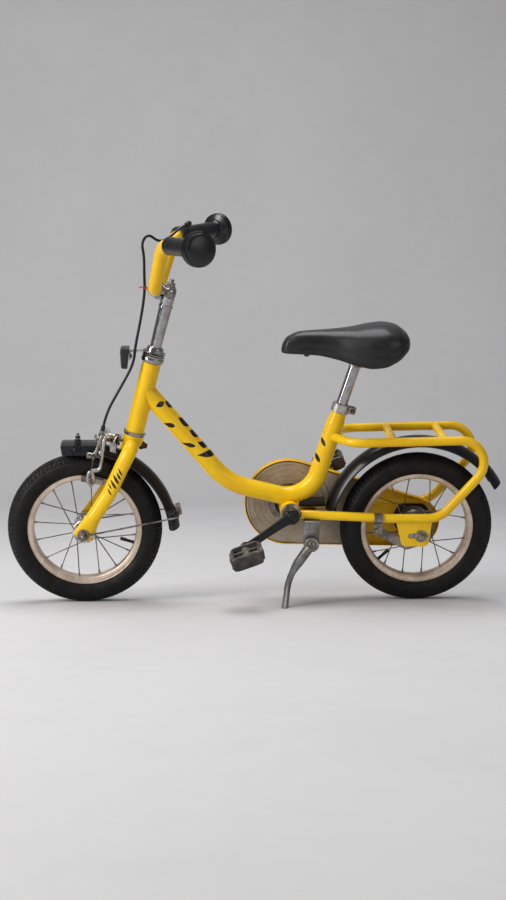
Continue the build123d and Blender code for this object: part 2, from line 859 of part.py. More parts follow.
with BuildPart() as fork:
    barrel(on_column(crown_middle), on_column(steerer_top + locknut_height - 4), steerer_radius)
    barrel(on_column(crown_middle), on_column(crown_top), cup_radius - 2)
    for side in (-1, 1):
        with BuildLine() as leg_path:
            FilletPolyline(
                on_column(crown_middle + 2),
                on_column(crown_middle, 0, side * leg_y),
                (leg_knee[0], side * leg_y, leg_knee[1]),
                (leg_shin[0], side * leg_y, leg_shin[1]),
                (leg_foot[0], side * leg_y, leg_foot[1]),
                radius=(leg_shoulder, leg_knee_radius, leg_shin_radius),
            )
        with BuildSketch(
            Plane(origin=leg_path.line @ 0, x_dir=(1, 0, 0), z_dir=leg_path.line % 0)
        ) as leg_section:
            Ellipse(leg_width / 2, leg_depth / 2)
        sweep(leg_section.sketch, path=leg_path.line)
        ankle = leg_path.line @ 1
        ankle_way = leg_path.line % 1
        end = Vector(front_x - 5, side * (leg_y + fork_end_thick / 2), axle_z - 6)
        end_way = end - ankle
        across = Vector(0, 1, 0)
        with BuildSketch(Plane(origin=ankle, x_dir=ankle_way.cross(across), z_dir=ankle_way)) as upper:
            Ellipse(leg_width / 2, leg_depth / 2)
        with BuildSketch(Plane(origin=end, x_dir=end_way.cross(across), z_dir=end_way)) as lower:
            Ellipse(leg_width / 2 + leg_end_flare, fork_end_thick / 2)
        loft(sections=[upper.sketch, lower.sketch])
    for side in (-1, 1):
        inner_face = side * leg_y
        outer_face = side * (leg_y + fork_end_thick)
        ring(front_x, axle_z, 0, inner_face, front_flange_radius, mode=Mode.SUBTRACT)
        ring(front_x, axle_z, outer_face, outer_face + side * 14, washer_radius + 1, mode=Mode.SUBTRACT)
        with BuildSketch(side_plane(side * leg_y + fork_end_thick * 2)) as slot:
            with Locations((front_x, axle_z)):
                Circle(slot_half)
            with Locations(Location((front_x - 4, axle_z - 12), 0)):
                Rectangle(2 * slot_half, 24)
        extrude(slot.sketch, amount=4 * fork_end_thick, mode=Mode.SUBTRACT)
    barrel(
        on_column(quill_foot - 10),
        on_column(steerer_top + locknut_height),
        quill_radius + fixed_play,
        mode=Mode.SUBTRACT,
    )
    barrel(brake_bolt_front, brake_bolt_back, brake_bolt_radius, mode=Mode.SUBTRACT)
pieces["fork"] = fork

with BuildPart() as headset_locknut:
    barrel(on_column(steerer_top), on_column(steerer_top + locknut_height), locknut_radius)
    barrel(
        on_column(steerer_top - 1),
        on_column(steerer_top + locknut_height + 1),
        quill_radius + fixed_play,
        mode=Mode.SUBTRACT,
    )
    add(fork.part, mode=Mode.SUBTRACT)
pieces["headset_locknut"] = headset_locknut

front_axle_end = leg_y + fork_end_thick + washer_thick + nut_thick + 3
with BuildPart() as front_axle:
    ring(front_x, axle_z, -front_axle_end, front_axle_end, axle_radius)
pieces["front_axle"] = front_axle

with BuildPart() as front_axle_nuts:
    for side in (-1, 1):
        seat = side * (leg_y + fork_end_thick)
        rest = seat + side * washer_thick
        ring(front_x, axle_z, rest, rest + side * nut_thick, nut_radius, axle_radius)
        ring(front_x, axle_z, side * (leg_y - cone_thick), side * leg_y, nut_radius, axle_radius)
pieces["front_axle_nuts"] = front_axle_nuts

# ------------------------------------------------------- stem and handlebar
bar_middle = on_column(bar_height, bar_forward)
with BuildPart() as stem:
    barrel(on_column(quill_foot), on_column(bar_height - 10), quill_radius)
    barrel(on_column(quill_height - stem_collar), on_column(bar_height + stem_collar), quill_radius + 2)
    bolt_top = bar_height + stem_collar + stem_bolt_height
    barrel(on_column(bar_height), on_column(bolt_top), stem_bolt_radius)
    barrel(
        turned((bar_middle[0], -bar_clamp_half, bar_middle[2])),
        turned((bar_middle[0], bar_clamp_half, bar_middle[2])),
        bar_radius + bar_clamp_wall,
    )
    barrel(on_column(bar_height), turned(bar_middle), quill_radius + 1)
    barrel(
        turned((bar_middle[0], -bar_clamp_half - 5, bar_middle[2])),
        turned((bar_middle[0], bar_clamp_half + 5, bar_middle[2])),
        bar_radius,
        mode=Mode.SUBTRACT,
    )
pieces["stem"] = stem

with BuildPart() as handlebar:
    bar_path = (
        (bar_end[0], -bar_end[1], bar_end[2]),
        (bar_shoulder[0], -bar_shoulder[1], bar_shoulder[2]),
        (bar_middle[0], -bar_bottom_half, bar_middle[2]),
        (bar_middle[0], bar_bottom_half, bar_middle[2]),
        bar_shoulder,
        bar_end,
    )
    rod(
        [turned(point) for point in bar_path],
        bar_radius,
        (bar_shoulder_radius, bar_foot_radius, bar_foot_radius, bar_shoulder_radius),
    )
pieces["handlebar"] = handlebar

with BuildPart() as grips:
    for side in (-1, 1):
        tip = Vector(*turned((bar_end[0], side * bar_end[1], bar_end[2])))
        shoulder = Vector(*turned((bar_shoulder[0], side * bar_shoulder[1], bar_shoulder[2])))
        inward = (shoulder - tip).normalized()
        dome_end = tip - inward * grip_end_thick
        sleeve_start = dome_end + inward * knob_length
        barrel(dome_end, sleeve_start, knob_radius)
        dome_face = grips.faces().sort_by(Axis(sleeve_start, inward))[0]
        fillet(dome_face.edges(), knob_round)
        barrel(sleeve_start, sleeve_start + inward * grip_length, grip_radius)
    add(handlebar.part, mode=Mode.SUBTRACT)
pieces["grips"] = grips

with BuildPart() as brake_lever:
    seat_share = (lever_seat_half - bar_shoulder_half) / (bar_end_half - bar_shoulder_half)
    seat_point = Vector(*bar_shoulder) + (Vector(*bar_end) - Vector(*bar_shoulder)) * seat_share
    lever_seat = turned(seat_point)
    lever_pivot = turned(seat_point + Vector(*lever_pivot_way))
    lever_knuckle = turned(seat_point + Vector(*lever_knuckle_way))
    lever_tip = turned(seat_point + Vector(*lever_tip_way))
    seat_way = (Vector(*turned(bar_end)) - Vector(*turned(bar_shoulder))).normalized()
    seat_start = Vector(*lever_seat) - seat_way * lever_seat_width / 2
    barrel(seat_start, seat_start + seat_way * lever_seat_width, bar_radius + bar_clamp_wall)
    barrel(lever_seat, lever_pivot, lever_radius + 4)
    rod(
        (lever_pivot, lever_knuckle, lever_tip),
        lever_radius,
        (lever_knuckle_radius,),
    )
    cable_start = Vector(*cable_points[0])
    cable_way = (Vector(*cable_points[1]) - cable_start).normalized()
    ferrule_back = cable_start - cable_way * ferrule_length
    barrel(ferrule_back, cable_start, cable_radius + 2)
    barrel(lever_seat, ferrule_back, cable_radius + 2)
    add(handlebar.part, mode=Mode.SUBTRACT)
    add(grips.part, mode=Mode.SUBTRACT)
pieces["brake_lever"] = brake_lever

# -------------------------------------------------------------- front brake
with BuildPart() as front_brake_bolt:
    barrel(brake_bolt_front, brake_bolt_back, brake_bolt_radius)
    barrel(
        on_column(brake_height, -brake_bolt_tail + 10),
        brake_bolt_back,
        brake_bolt_radius + 4,
    )
    add(fork.part, mode=Mode.SUBTRACT)
pieces["front_brake_bolt"] = front_brake_bolt

with BuildPart() as caliper_arms:
    for side, setback in ((1, 0), (-1, arm_thick + arm_gap)):
        boss_front = on_column(brake_height, brake_reach - 3 - setback)
        boss_back = on_column(brake_height, brake_reach - 3 - setback - arm_thick)
        barrel(boss_front, boss_back, arm_boss_radius)
        middle = (Vector(*boss_front) + Vector(*boss_back)) * 0.5
        rod(
            (
                middle,
                (middle.X, side * arm_y, arm_shoulder_z),
                (arm_elbow[0], side * arm_y, arm_elbow[1]),
                (arm_wrist[0], side * arm_y, arm_wrist[1]),
                (arm_foot[0], side * arm_y, arm_foot[1]),
            ),
            arm_thick / 2,
            (arm_shoulder_radius, arm_elbow_radius, arm_elbow_radius),
        )
    barrel(brake_bolt_front, brake_bolt_back, brake_bolt_radius, mode=Mode.SUBTRACT)
pieces["caliper_arms"] = caliper_arms

with BuildPart() as brake_pads:
    for side in (-1, 1):
        pad_inner = rim_width / 2 + pad_gap
        pad_middle = (pad_x, side * (pad_inner + pad_thick / 2), pad_z)
        with Locations(Location(pad_middle, (0, pad_tilt, 0))):
            Box(pad_length, pad_thick, pad_height)
        stud_end = arm_y + arm_thick / 2 + 2
        ring(pad_x, pad_z, side * (pad_inner + 2), side * stud_end, pad_stud_radius)
    add(caliper_arms.part, mode=Mode.SUBTRACT)
pieces["brake_pads"] = brake_pads

cable_bends = []
for before, corner, after in zip(cable_points, cable_points[1:], cable_points[2:]):
    run_in = Vector(*corner) - Vector(*before)
    run_out = Vector(*after) - Vector(*corner)
    half_turn = radians(run_in.get_angle(run_out)) / 2
    cable_bends.append(cable_bend_share * min(run_in.length, run_out.length) / tan(half_turn))
print("cable bend radii", [round(bend, 1) for bend in cable_bends])
with BuildPart() as brake_cable:
    rod(cable_points, cable_radius, cable_bends)
pieces["brake_cable"] = brake_cable

with BuildPart() as cable_stop:
    cable_stop_foot = Vector(*cable_points[-1]) + Vector(*cable_stop_way)
    barrel(cable_points[-1], cable_stop_foot, cable_radius + 2)
    barrel(cable_stop_foot, (middle.X, -arm_y, arm_shoulder_z), cable_radius + 1)
    add(caliper_arms.part, mode=Mode.SUBTRACT)
    add(brake_cable.part, mode=Mode.SUBTRACT)
pieces["cable_stop"] = cable_stop

with BuildPart() as reflector:
    with Locations((reflector_x, 0, reflector_z)):
        Box(reflector_depth, reflector_width, reflector_height)
pieces["reflector"] = reflector

with BuildPart() as reflector_bracket:
    bracket_start = reflector_x + reflector_depth / 2
    bracket_end = on_column(steerer_top + locknut_height / 2)[0]
    with Locations(((bracket_start + bracket_end) / 2, 0, reflector_strip_z)):
        Box(bracket_end - bracket_start, reflector_strip_width, reflector_strip_thick)
    barrel(on_column(steerer_top - 20), on_column(steerer_top + 40), locknut_radius, mode=Mode.SUBTRACT)
pieces["reflector_bracket"] = reflector_bracket

# ------------------------------------------------- mudguard stays and fittings
with BuildPart() as mudguard_stays:
    for side in (-1, 1):
        stay_face = side * (leg_y + fork_end_thick)
        ring(front_x, axle_z, stay_face, stay_face + side * washer_thick, washer_radius, axle_radius)
    wire_y = leg_y + fork_end_thick + washer_thick / 2
    wire_start_x = front_x + washer_radius - 1
    wire_start_z = axle_z + 1
    hold_way = Vector(cos(radians(stay_hold_angle)), 0, sin(radians(stay_hold_angle)))
    hold = Vector(*front_centre) + hold_way * (front_guard_radius + flap_thick + stay_wire_radius)
    rod(
        (
            (wire_start_x, -wire_y, wire_start_z),
            (hold.X, -stay_hold_half, hold.Z),
            (hold.X, stay_hold_half, hold.Z),
            (wire_start_x, wire_y, wire_start_z),
        ),
        stay_wire_radius,
        (stay_fold_radius, stay_fold_radius),
    )
    # The block that holds the wire's fold on the back of the flap
    block_way = Vector(cos(radians(stay_block_angle)), 0, sin(radians(stay_block_angle)))
    block_reach = front_guard_radius + flap_thick + stay_block_thick / 2 - 1
    block_middle = Vector(*front_centre) + block_way * block_reach
    with Locations(Location(tuple(block_middle), (0, -stay_block_angle, 0))):
        Box(stay_block_thick, stay_block_width, stay_block_height)
    add(fork.part, mode=Mode.SUBTRACT)
    add(front_guard_flap.part, mode=Mode.SUBTRACT)
    add(front_mudguard.part, mode=Mode.SUBTRACT)
pieces["mudguard_stays"] = mudguard_stays

with BuildPart() as mudguard_clips:
    for tube_x in cross_tube_xs:
        tube_z = rail_front_z + rail_slope * (tube_x - rail_front_x)
        inside_z = axle_z + sqrt(rear_guard_radius**2 - tube_x**2) - guard_sheet - 3
        barrel((tube_x, 0, tube_z), (tube_x, 0, inside_z), clip_radius)
    add(rack_cross_tubes.part, mode=Mode.SUBTRACT)
    add(rear_mudguard.part, mode=Mode.SUBTRACT)
pieces["mudguard_clips"] = mudguard_clips

with BuildPart() as mudguard_bolt:
    barrel(on_column(crown_middle), on_column(crown_middle - 30), guard_bolt_radius)
    inner_reach = front_guard_radius - 8
    ring(front_guard_x, front_guard_z, -guard_half, guard_half, inner_reach, mode=Mode.SUBTRACT)
    add(fork.part, mode=Mode.SUBTRACT)
    add(front_mudguard.part, mode=Mode.SUBTRACT)
    add(front_brake_bolt.part, mode=Mode.SUBTRACT)
pieces["mudguard_bolt"] = mudguard_bolt

# ------------------------------------------------------------------- wheels
for wheel_name, wheel_x, spoke_phase, valve_angle in (
    ("front", front_x, 15, -18),
    ("rear", 0, 8.7, 223),
):
    hub = Plane(origin=(wheel_x, 0, axle_z), x_dir=(0, 0, 1), z_dir=(-1, 0, 0))
    wheel_axis = Axis((wheel_x, 0, axle_z), (0, 1, 0))
    front = wheel_name == "front"
    with BuildPart() as tyre:
        with BuildSketch(hub) as tyre_section:
            with Locations((tyre_od / 2 - tyre_height / 2, 0)):
                Ellipse(tyre_height / 2, tyre_width / 2)
                Ellipse(
                    tyre_height / 2 - tyre_wall,
                    tyre_width / 2 - tyre_wall,
                    mode=Mode.SUBTRACT,
                )
            Rectangle(rim_od, 2 * tyre_width, mode=Mode.SUBTRACT)
        revolve(tyre_section.sketch, axis=wheel_axis)
    pieces[wheel_name + "_tyre"] = tyre
    with BuildPart() as rim:
        with BuildSketch(hub) as rim_section:
            with Locations((rim_od / 2 - rim_depth / 2, 0)):
                Rectangle(rim_depth, rim_width)
            with Locations((rim_od / 2 - rim_depth / 2 + rim_wall, 0)):
                Rectangle(rim_depth, rim_width - 2 * rim_wall, mode=Mode.SUBTRACT)
        revolve(rim_section.sketch, axis=wheel_axis)
    pieces[wheel_name + "_rim"] = rim
    body_radius = front_hub_radius if front else rear_hub_radius
    flange_radius = front_flange_radius if front else rear_flange_radius
    flange_y = front_flange_y if front else rear_flange_y
    left_end = leg_y - cone_thick - hub_gap if front else rear_hub_left
    right_end = leg_y - cone_thick - hub_gap if front else rear_hub_right
    with BuildPart() as wheel_hub:
        ring(wheel_x, axle_z, -left_end, right_end, cone_radius)
        ring(wheel_x, axle_z, -flange_y, flange_y, body_radius)
        for side in (-1, 1):
            ring(
                wheel_x,
                axle_z,
                side * flange_y - flange_thick / 2,
                side * flange_y + flange_thick / 2,
                flange_radius,
            )
        ring(wheel_x, axle_z, -left_end - 1, right_end + 1, axle_radius + hub_play, mode=Mode.SUBTRACT)
    pieces[wheel_name + "_hub"] = wheel_hub
    with BuildPart() as spokes:
        for index in range(spoke_count):
            side = -1 if index % 2 else 1
            lace = -1 if (index // 2) % 2 else 1
            rim_angle = radians(spoke_phase + 360 / spoke_count * index)
            hub_angle = rim_angle + radians(spoke_lace) * lace
            hub_reach = flange_radius - spoke_inset
            hub_y = side * (flange_y + lace * (flange_thick / 2 + spoke_radius / 2))
            rim_reach = rim_od / 2 - rim_depth + rim_wall / 2
            barrel(
                (
                    wheel_x + hub_reach * cos(hub_angle),
                    hub_y,
                    axle_z + hub_reach * sin(hub_angle),
                ),
                (
                    wheel_x + rim_reach * cos(rim_angle),
                    side * spoke_rim_y,
                    axle_z + rim_reach * sin(rim_angle),
                ),
                spoke_radius,
            )
        add(rim.part, mode=Mode.SUBTRACT)
        add(wheel_hub.part, mode=Mode.SUBTRACT)
    pieces[wheel_name + "_spokes"] = spokes
    with BuildPart() as valve:
        valve_way = Vector(cos(radians(valve_angle)), 0, sin(radians(valve_angle)))
        centre = Vector(wheel_x, 0, axle_z)
        outer_reach = rim_od / 2 - rim_depth
        barrel(
            centre + valve_way * (outer_reach + 1),
            centre + valve_way * (outer_reach - valve_length),
            valve_radius,
        )
        add(rim.part, mode=Mode.SUBTRACT)
    pieces[wheel_name + "_valve"] = valve

# ------------------------------------------------------- cranks and pedals
with BuildPart() as crank_axle:
    ring(
        bb_x,
        bb_z,
        -left_boss_y - crank_boss_thick,
        right_boss_y + crank_boss_thick,
        crank_axle_radius,
    )
pieces["crank_axle"] = crank_axle

spindle_ends = []
for side, boss_y, tip_y, turn in (
    (-1, -left_boss_y, -crank_tip_y, crank_start_angle),
    (1, right_boss_y, right_tip_y, crank_start_angle - 180),
):
    tip_x = bb_x + crank_length * cos(radians(turn))
    tip_z = bb_z + crank_length * sin(radians(turn))
    boss_end = boss_y + side * crank_boss_thick
    tip_end = tip_y + side * crank_tip_thick
    with BuildPart() as crank:
        ring(bb_x, bb_z, boss_y, boss_end, crank_boss_radius)
        ring(tip_x, tip_z, tip_y, tip_end, crank_tip_radius)
        start = Vector(bb_x, (boss_y + boss_end) / 2, bb_z)
        finish = Vector(tip_x, (tip_y + tip_end) / 2, tip_z)
        way = finish - start
        sideways = way.cross(Vector(0, 1, 0))
        with BuildSketch(Plane(origin=start, x_dir=sideways, z_dir=way)) as arm_start:
            Ellipse(crank_arm_width / 2, crank_arm_depth / 2)
        with BuildSketch(Plane(origin=finish, x_dir=sideways, z_dir=way)) as arm_finish:
            Ellipse(crank_arm_width / 2 - 2, crank_arm_depth / 2 - 1)
        loft(sections=[arm_start.sketch, arm_finish.sketch])
        ring(bb_x, bb_z, boss_y - side, boss_end + side, crank_axle_radius, mode=Mode.SUBTRACT)
        ring(tip_x, tip_z, tip_y - side, tip_end + side, spindle_radius, mode=Mode.SUBTRACT)
    pieces["crank_" + side_name(side)] = crank
    inner_y = tip_end + side * pedal_gap
    outer_y = inner_y + side * pedal_width
    spindle_ends.append((tip_x, tip_z, tip_y, tip_end, outer_y, side))
    with BuildPart() as pedal:
        deck = Plane(
            origin=(tip_x, (inner_y + outer_y) / 2, tip_z),
            x_dir=(cos(radians(pedal_tilt)), 0, sin(radians(pedal_tilt))),
            z_dir=(0, 1, 0),
        )
        with BuildSketch(deck) as pedal_side:
            RectangleRounded(pedal_length, pedal_height, pedal_round)
        extrude(pedal_side.sketch, amount=pedal_width / 2, both=True)
        floor_deck = Plane(
            origin=deck.origin,
            x_dir=deck.x_dir,
            z_dir=(-sin(radians(pedal_tilt)), 0, cos(radians(pedal_tilt))),
        )
        with BuildSketch(floor_deck) as windows:
            with GridLocations(pedal_length / 2 - 3, 0, 2, 1):
                RectangleRounded(pedal_window, pedal_width - 14, 3)
        extrude(windows.sketch, amount=pedal_height, both=True, mode=Mode.SUBTRACT)
        ring(
            tip_x,
            tip_z,
            inner_y - side,
            outer_y - side * 5,
            spindle_radius + hub_play,
            mode=Mode.SUBTRACT,
        )
    pieces["pedal_" + side_name(side)] = pedal

with BuildPart() as pedal_spindles:
    for tip_x, tip_z, tip_y, tip_end, outer_y, side in spindle_ends:
        ring(tip_x, tip_z, tip_y, outer_y - side * 6, spindle_radius)
        ring(tip_x, tip_z, tip_end, tip_end + side * (pedal_gap - 1), spindle_radius + 4)
pieces["pedal_spindles"] = pedal_spindles

# ------------------------------------------------------ lean, centre, write
lean_over = Rotation(lean_angle, 0, 0)
leaned = Compound(children=[lean_over * piece.part for piece in pieces.values()])
bounds = leaned.bounding_box()
stood = Location((-bounds.center().X, -bounds.center().Y, floor_rise))
print("stance", -bounds.center().X, -bounds.center().Y, bounds.min.Z + floor_rise, bounds.size)
os.makedirs("parts", exist_ok=True)
for name, piece in pieces.items():
    piece.part = stood * (lean_over * piece.part)
    piece.part.label = name
    export_step(piece.part, "parts/" + name + ".step")
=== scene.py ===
"""A child's step-through bicycle that leans on its side stand.

Every size below is in millimetres in the bicycle's own upright axes: -X is
forward, -Y is the rider's left, +Z is up, and the rear wheel meets the ground
at the origin. The stance turns those axes into the frame's, in metres.
Profiles are pairs of a distance along an axis and a radius round it.
"""

from __future__ import annotations

import json
import logging
import math
from dataclasses import dataclass
from enum import Enum
from typing import Optional, Sequence

import bmesh
import bpy
from mathutils import Matrix, Vector

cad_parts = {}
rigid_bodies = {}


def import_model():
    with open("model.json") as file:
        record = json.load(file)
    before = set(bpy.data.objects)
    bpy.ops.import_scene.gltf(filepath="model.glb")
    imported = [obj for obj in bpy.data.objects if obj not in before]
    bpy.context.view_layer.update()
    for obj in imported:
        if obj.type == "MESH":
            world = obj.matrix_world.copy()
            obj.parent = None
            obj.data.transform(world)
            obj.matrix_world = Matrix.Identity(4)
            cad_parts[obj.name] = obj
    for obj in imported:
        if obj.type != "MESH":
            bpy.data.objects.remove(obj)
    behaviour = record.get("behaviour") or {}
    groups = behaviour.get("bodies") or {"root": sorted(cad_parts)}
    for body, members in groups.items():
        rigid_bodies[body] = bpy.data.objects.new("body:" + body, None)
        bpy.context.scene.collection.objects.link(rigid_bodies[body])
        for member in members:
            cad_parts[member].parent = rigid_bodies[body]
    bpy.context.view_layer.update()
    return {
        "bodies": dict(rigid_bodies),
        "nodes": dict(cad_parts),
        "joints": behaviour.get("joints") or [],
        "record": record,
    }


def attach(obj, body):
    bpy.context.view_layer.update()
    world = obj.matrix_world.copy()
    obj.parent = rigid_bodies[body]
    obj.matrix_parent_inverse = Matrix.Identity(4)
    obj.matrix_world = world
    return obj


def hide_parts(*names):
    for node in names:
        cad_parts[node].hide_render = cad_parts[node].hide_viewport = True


LOG = logging.getLogger("bicycle")
Point = Sequence[float]
Pair = tuple[float, float]
Profile = Sequence[Pair]
Triple = tuple[float, float, float]
Rgb = tuple[int, int, int]
Color = tuple[float, float, float, float]
Strokes = tuple[tuple[Triple, Triple, float], ...]
Material = bpy.types.Material
Socket = bpy.types.NodeSocket
Sockets = dict[str, Socket]

MM = 0.001
FRONT_X = -649.0
AXLE_Z = 150.0
TYRE_RADIUS = 150.0
HEAD_ANGLE = math.radians(14.0)
HEAD_FOOT = Vector((-550.5, 0.0, 344.0))
SEAT_ANGLE = math.radians(17.3)
SEAT_FOOT = Vector((-213.6, 0.0, 201.4))
BAR_TWIST = math.radians(6.0)
LEAN = math.radians(11.9)
BB = Vector((-250.0, 0.0, 188.0))
ALONG = Vector((1.0, 0.0, 0.0))  # to the rear
ACROSS = Vector((0.0, 1.0, 0.0))  # to the rider's right
UP = Vector((0.0, 0.0, 1.0))
SIDES = (-1, 1)


class Body(str, Enum):
    """The bodies that pieces ride on."""

    FRAME = "frame"
    STEERING = "steering"
    FRONT_WHEEL = "front_wheel"
    REAR_WHEEL = "rear_wheel"
    CRANKS = "cranks"
    PEDAL_LEFT = "pedal_left"
    PEDAL_RIGHT = "pedal_right"
    STAND = "side_stand"


# ----------------------------------------------------------------- geometry
def column_up() -> Vector:
    """The direction of the steering column, upwards."""
    return Vector((math.sin(HEAD_ANGLE), 0.0, math.cos(HEAD_ANGLE)))


def seat_up() -> Vector:
    """The direction of the seat tube, upwards."""
    return Vector((math.sin(SEAT_ANGLE), 0.0, math.cos(SEAT_ANGLE)))


def on_column(height: float, forward: float = 0.0) -> Vector:
    """The point at a height above the head tube's foot and a distance ahead of the column."""
    ahead = Vector((-math.cos(HEAD_ANGLE), 0.0, math.sin(HEAD_ANGLE)))
    return HEAD_FOOT + column_up() * height + ahead * forward


def on_seat_tube(z: float) -> Vector:
    """The point of the seat tube's axis at a height."""
    return Vector((SEAT_FOOT.x + math.tan(SEAT_ANGLE) * (z - SEAT_FOOT.z), 0.0, z))


def turned(point: Point) -> Vector:
    """A handlebar point, turned with the stem about the steering column."""
    twist = Matrix.Rotation(-BAR_TWIST, 3, column_up())
    return HEAD_FOOT + twist @ (Vector(point) - HEAD_FOOT)


def radial(turn: float) -> Vector:
    """The direction at an angle round a wheel, from the rear upwards."""
    return Vector((math.cos(turn), 0.0, math.sin(turn)))


def basis(axis: Vector) -> tuple[Vector, Vector]:
    """Two unit directions square to an axis and to each other."""
    first = axis.cross(ACROSS if abs(axis.normalized().y) < 0.9 else ALONG).normalized()
    return first, axis.normalized().cross(first)


def squared(turn: float, power: float) -> Pair:
    """A direction's cosine and sine, pushed out towards a square."""
    reach = (1.0 / max(abs(math.cos(turn)), abs(math.sin(turn)))) ** power
    return math.cos(turn) * reach, math.sin(turn) * reach


def oval(steps: int, wide: float, high: float, u: float = 1.0, v: float = 1.0) -> list[Pair]:
    """Points round an oval.

    Args:
        steps: The number of points.
        wide: Half the oval's width.
        high: Half its height.
        u: The power of the cosine; less than 1 squares the oval.
        v: The power of the sine.

    Returns:
        The points.
    """
    points = []
    for step in range(steps):
        c, s = (way(2 * math.pi * step / steps) for way in (math.cos, math.sin))
        points.append((math.copysign(abs(c) ** u, c) * wide, math.copysign(abs(s) ** v, s) * high))
    return points


def moved(profile: Profile, along: float = 0.0, out: float = 0.0) -> list[Pair]:
    """A profile shifted along its axis and away from it."""
    return [(first + along, second + out) for first, second in profile]


def mirrored(profile: Profile) -> list[Pair]:
    """The other half of a profile that is the same on both sides."""
    return [(-along, radius) for along, radius in reversed(profile)]


def between(start: Pair, end: Pair) -> list[Pair]:
    """Three points along a straight run."""
    (a, b), (c, d) = start, end
    return [(a + (c - a) * share, b + (d - b) * share) for share in (0.25, 0.5, 0.75)]


def rounded(points: Sequence[Point], radii: Sequence[float], steps: int) -> list[Vector]:
    """Rounds the corners of a rod's straight runs.

    Args:
        points: The ends of the runs.
        radii: One bend radius for each corner.
        steps: How many steps each bend gets.

    Returns:
        The rod's centre line.
    """
    spots = [Vector(point) for point in points]
    line = [spots[0]]
    for before, corner, after, radius in zip(spots, spots[1:], spots[2:], radii):
        into = (corner - before).normalized()
        out = (after - corner).normalized()
        half = into.angle(out) / 2
        longest = 0.48 * min((corner - before).length, (after - corner).length)
        run = min(radius * math.tan(half), longest)
        centre = corner + (out - into).normalized() * run / math.sin(half)
        start = corner - into * run - centre
        hinge = into.cross(out).normalized()
        for step in range(steps + 1):
            line.append(centre + Matrix.Rotation(2 * half * step / steps, 3, hinge) @ start)
    return line + [spots[-1]]


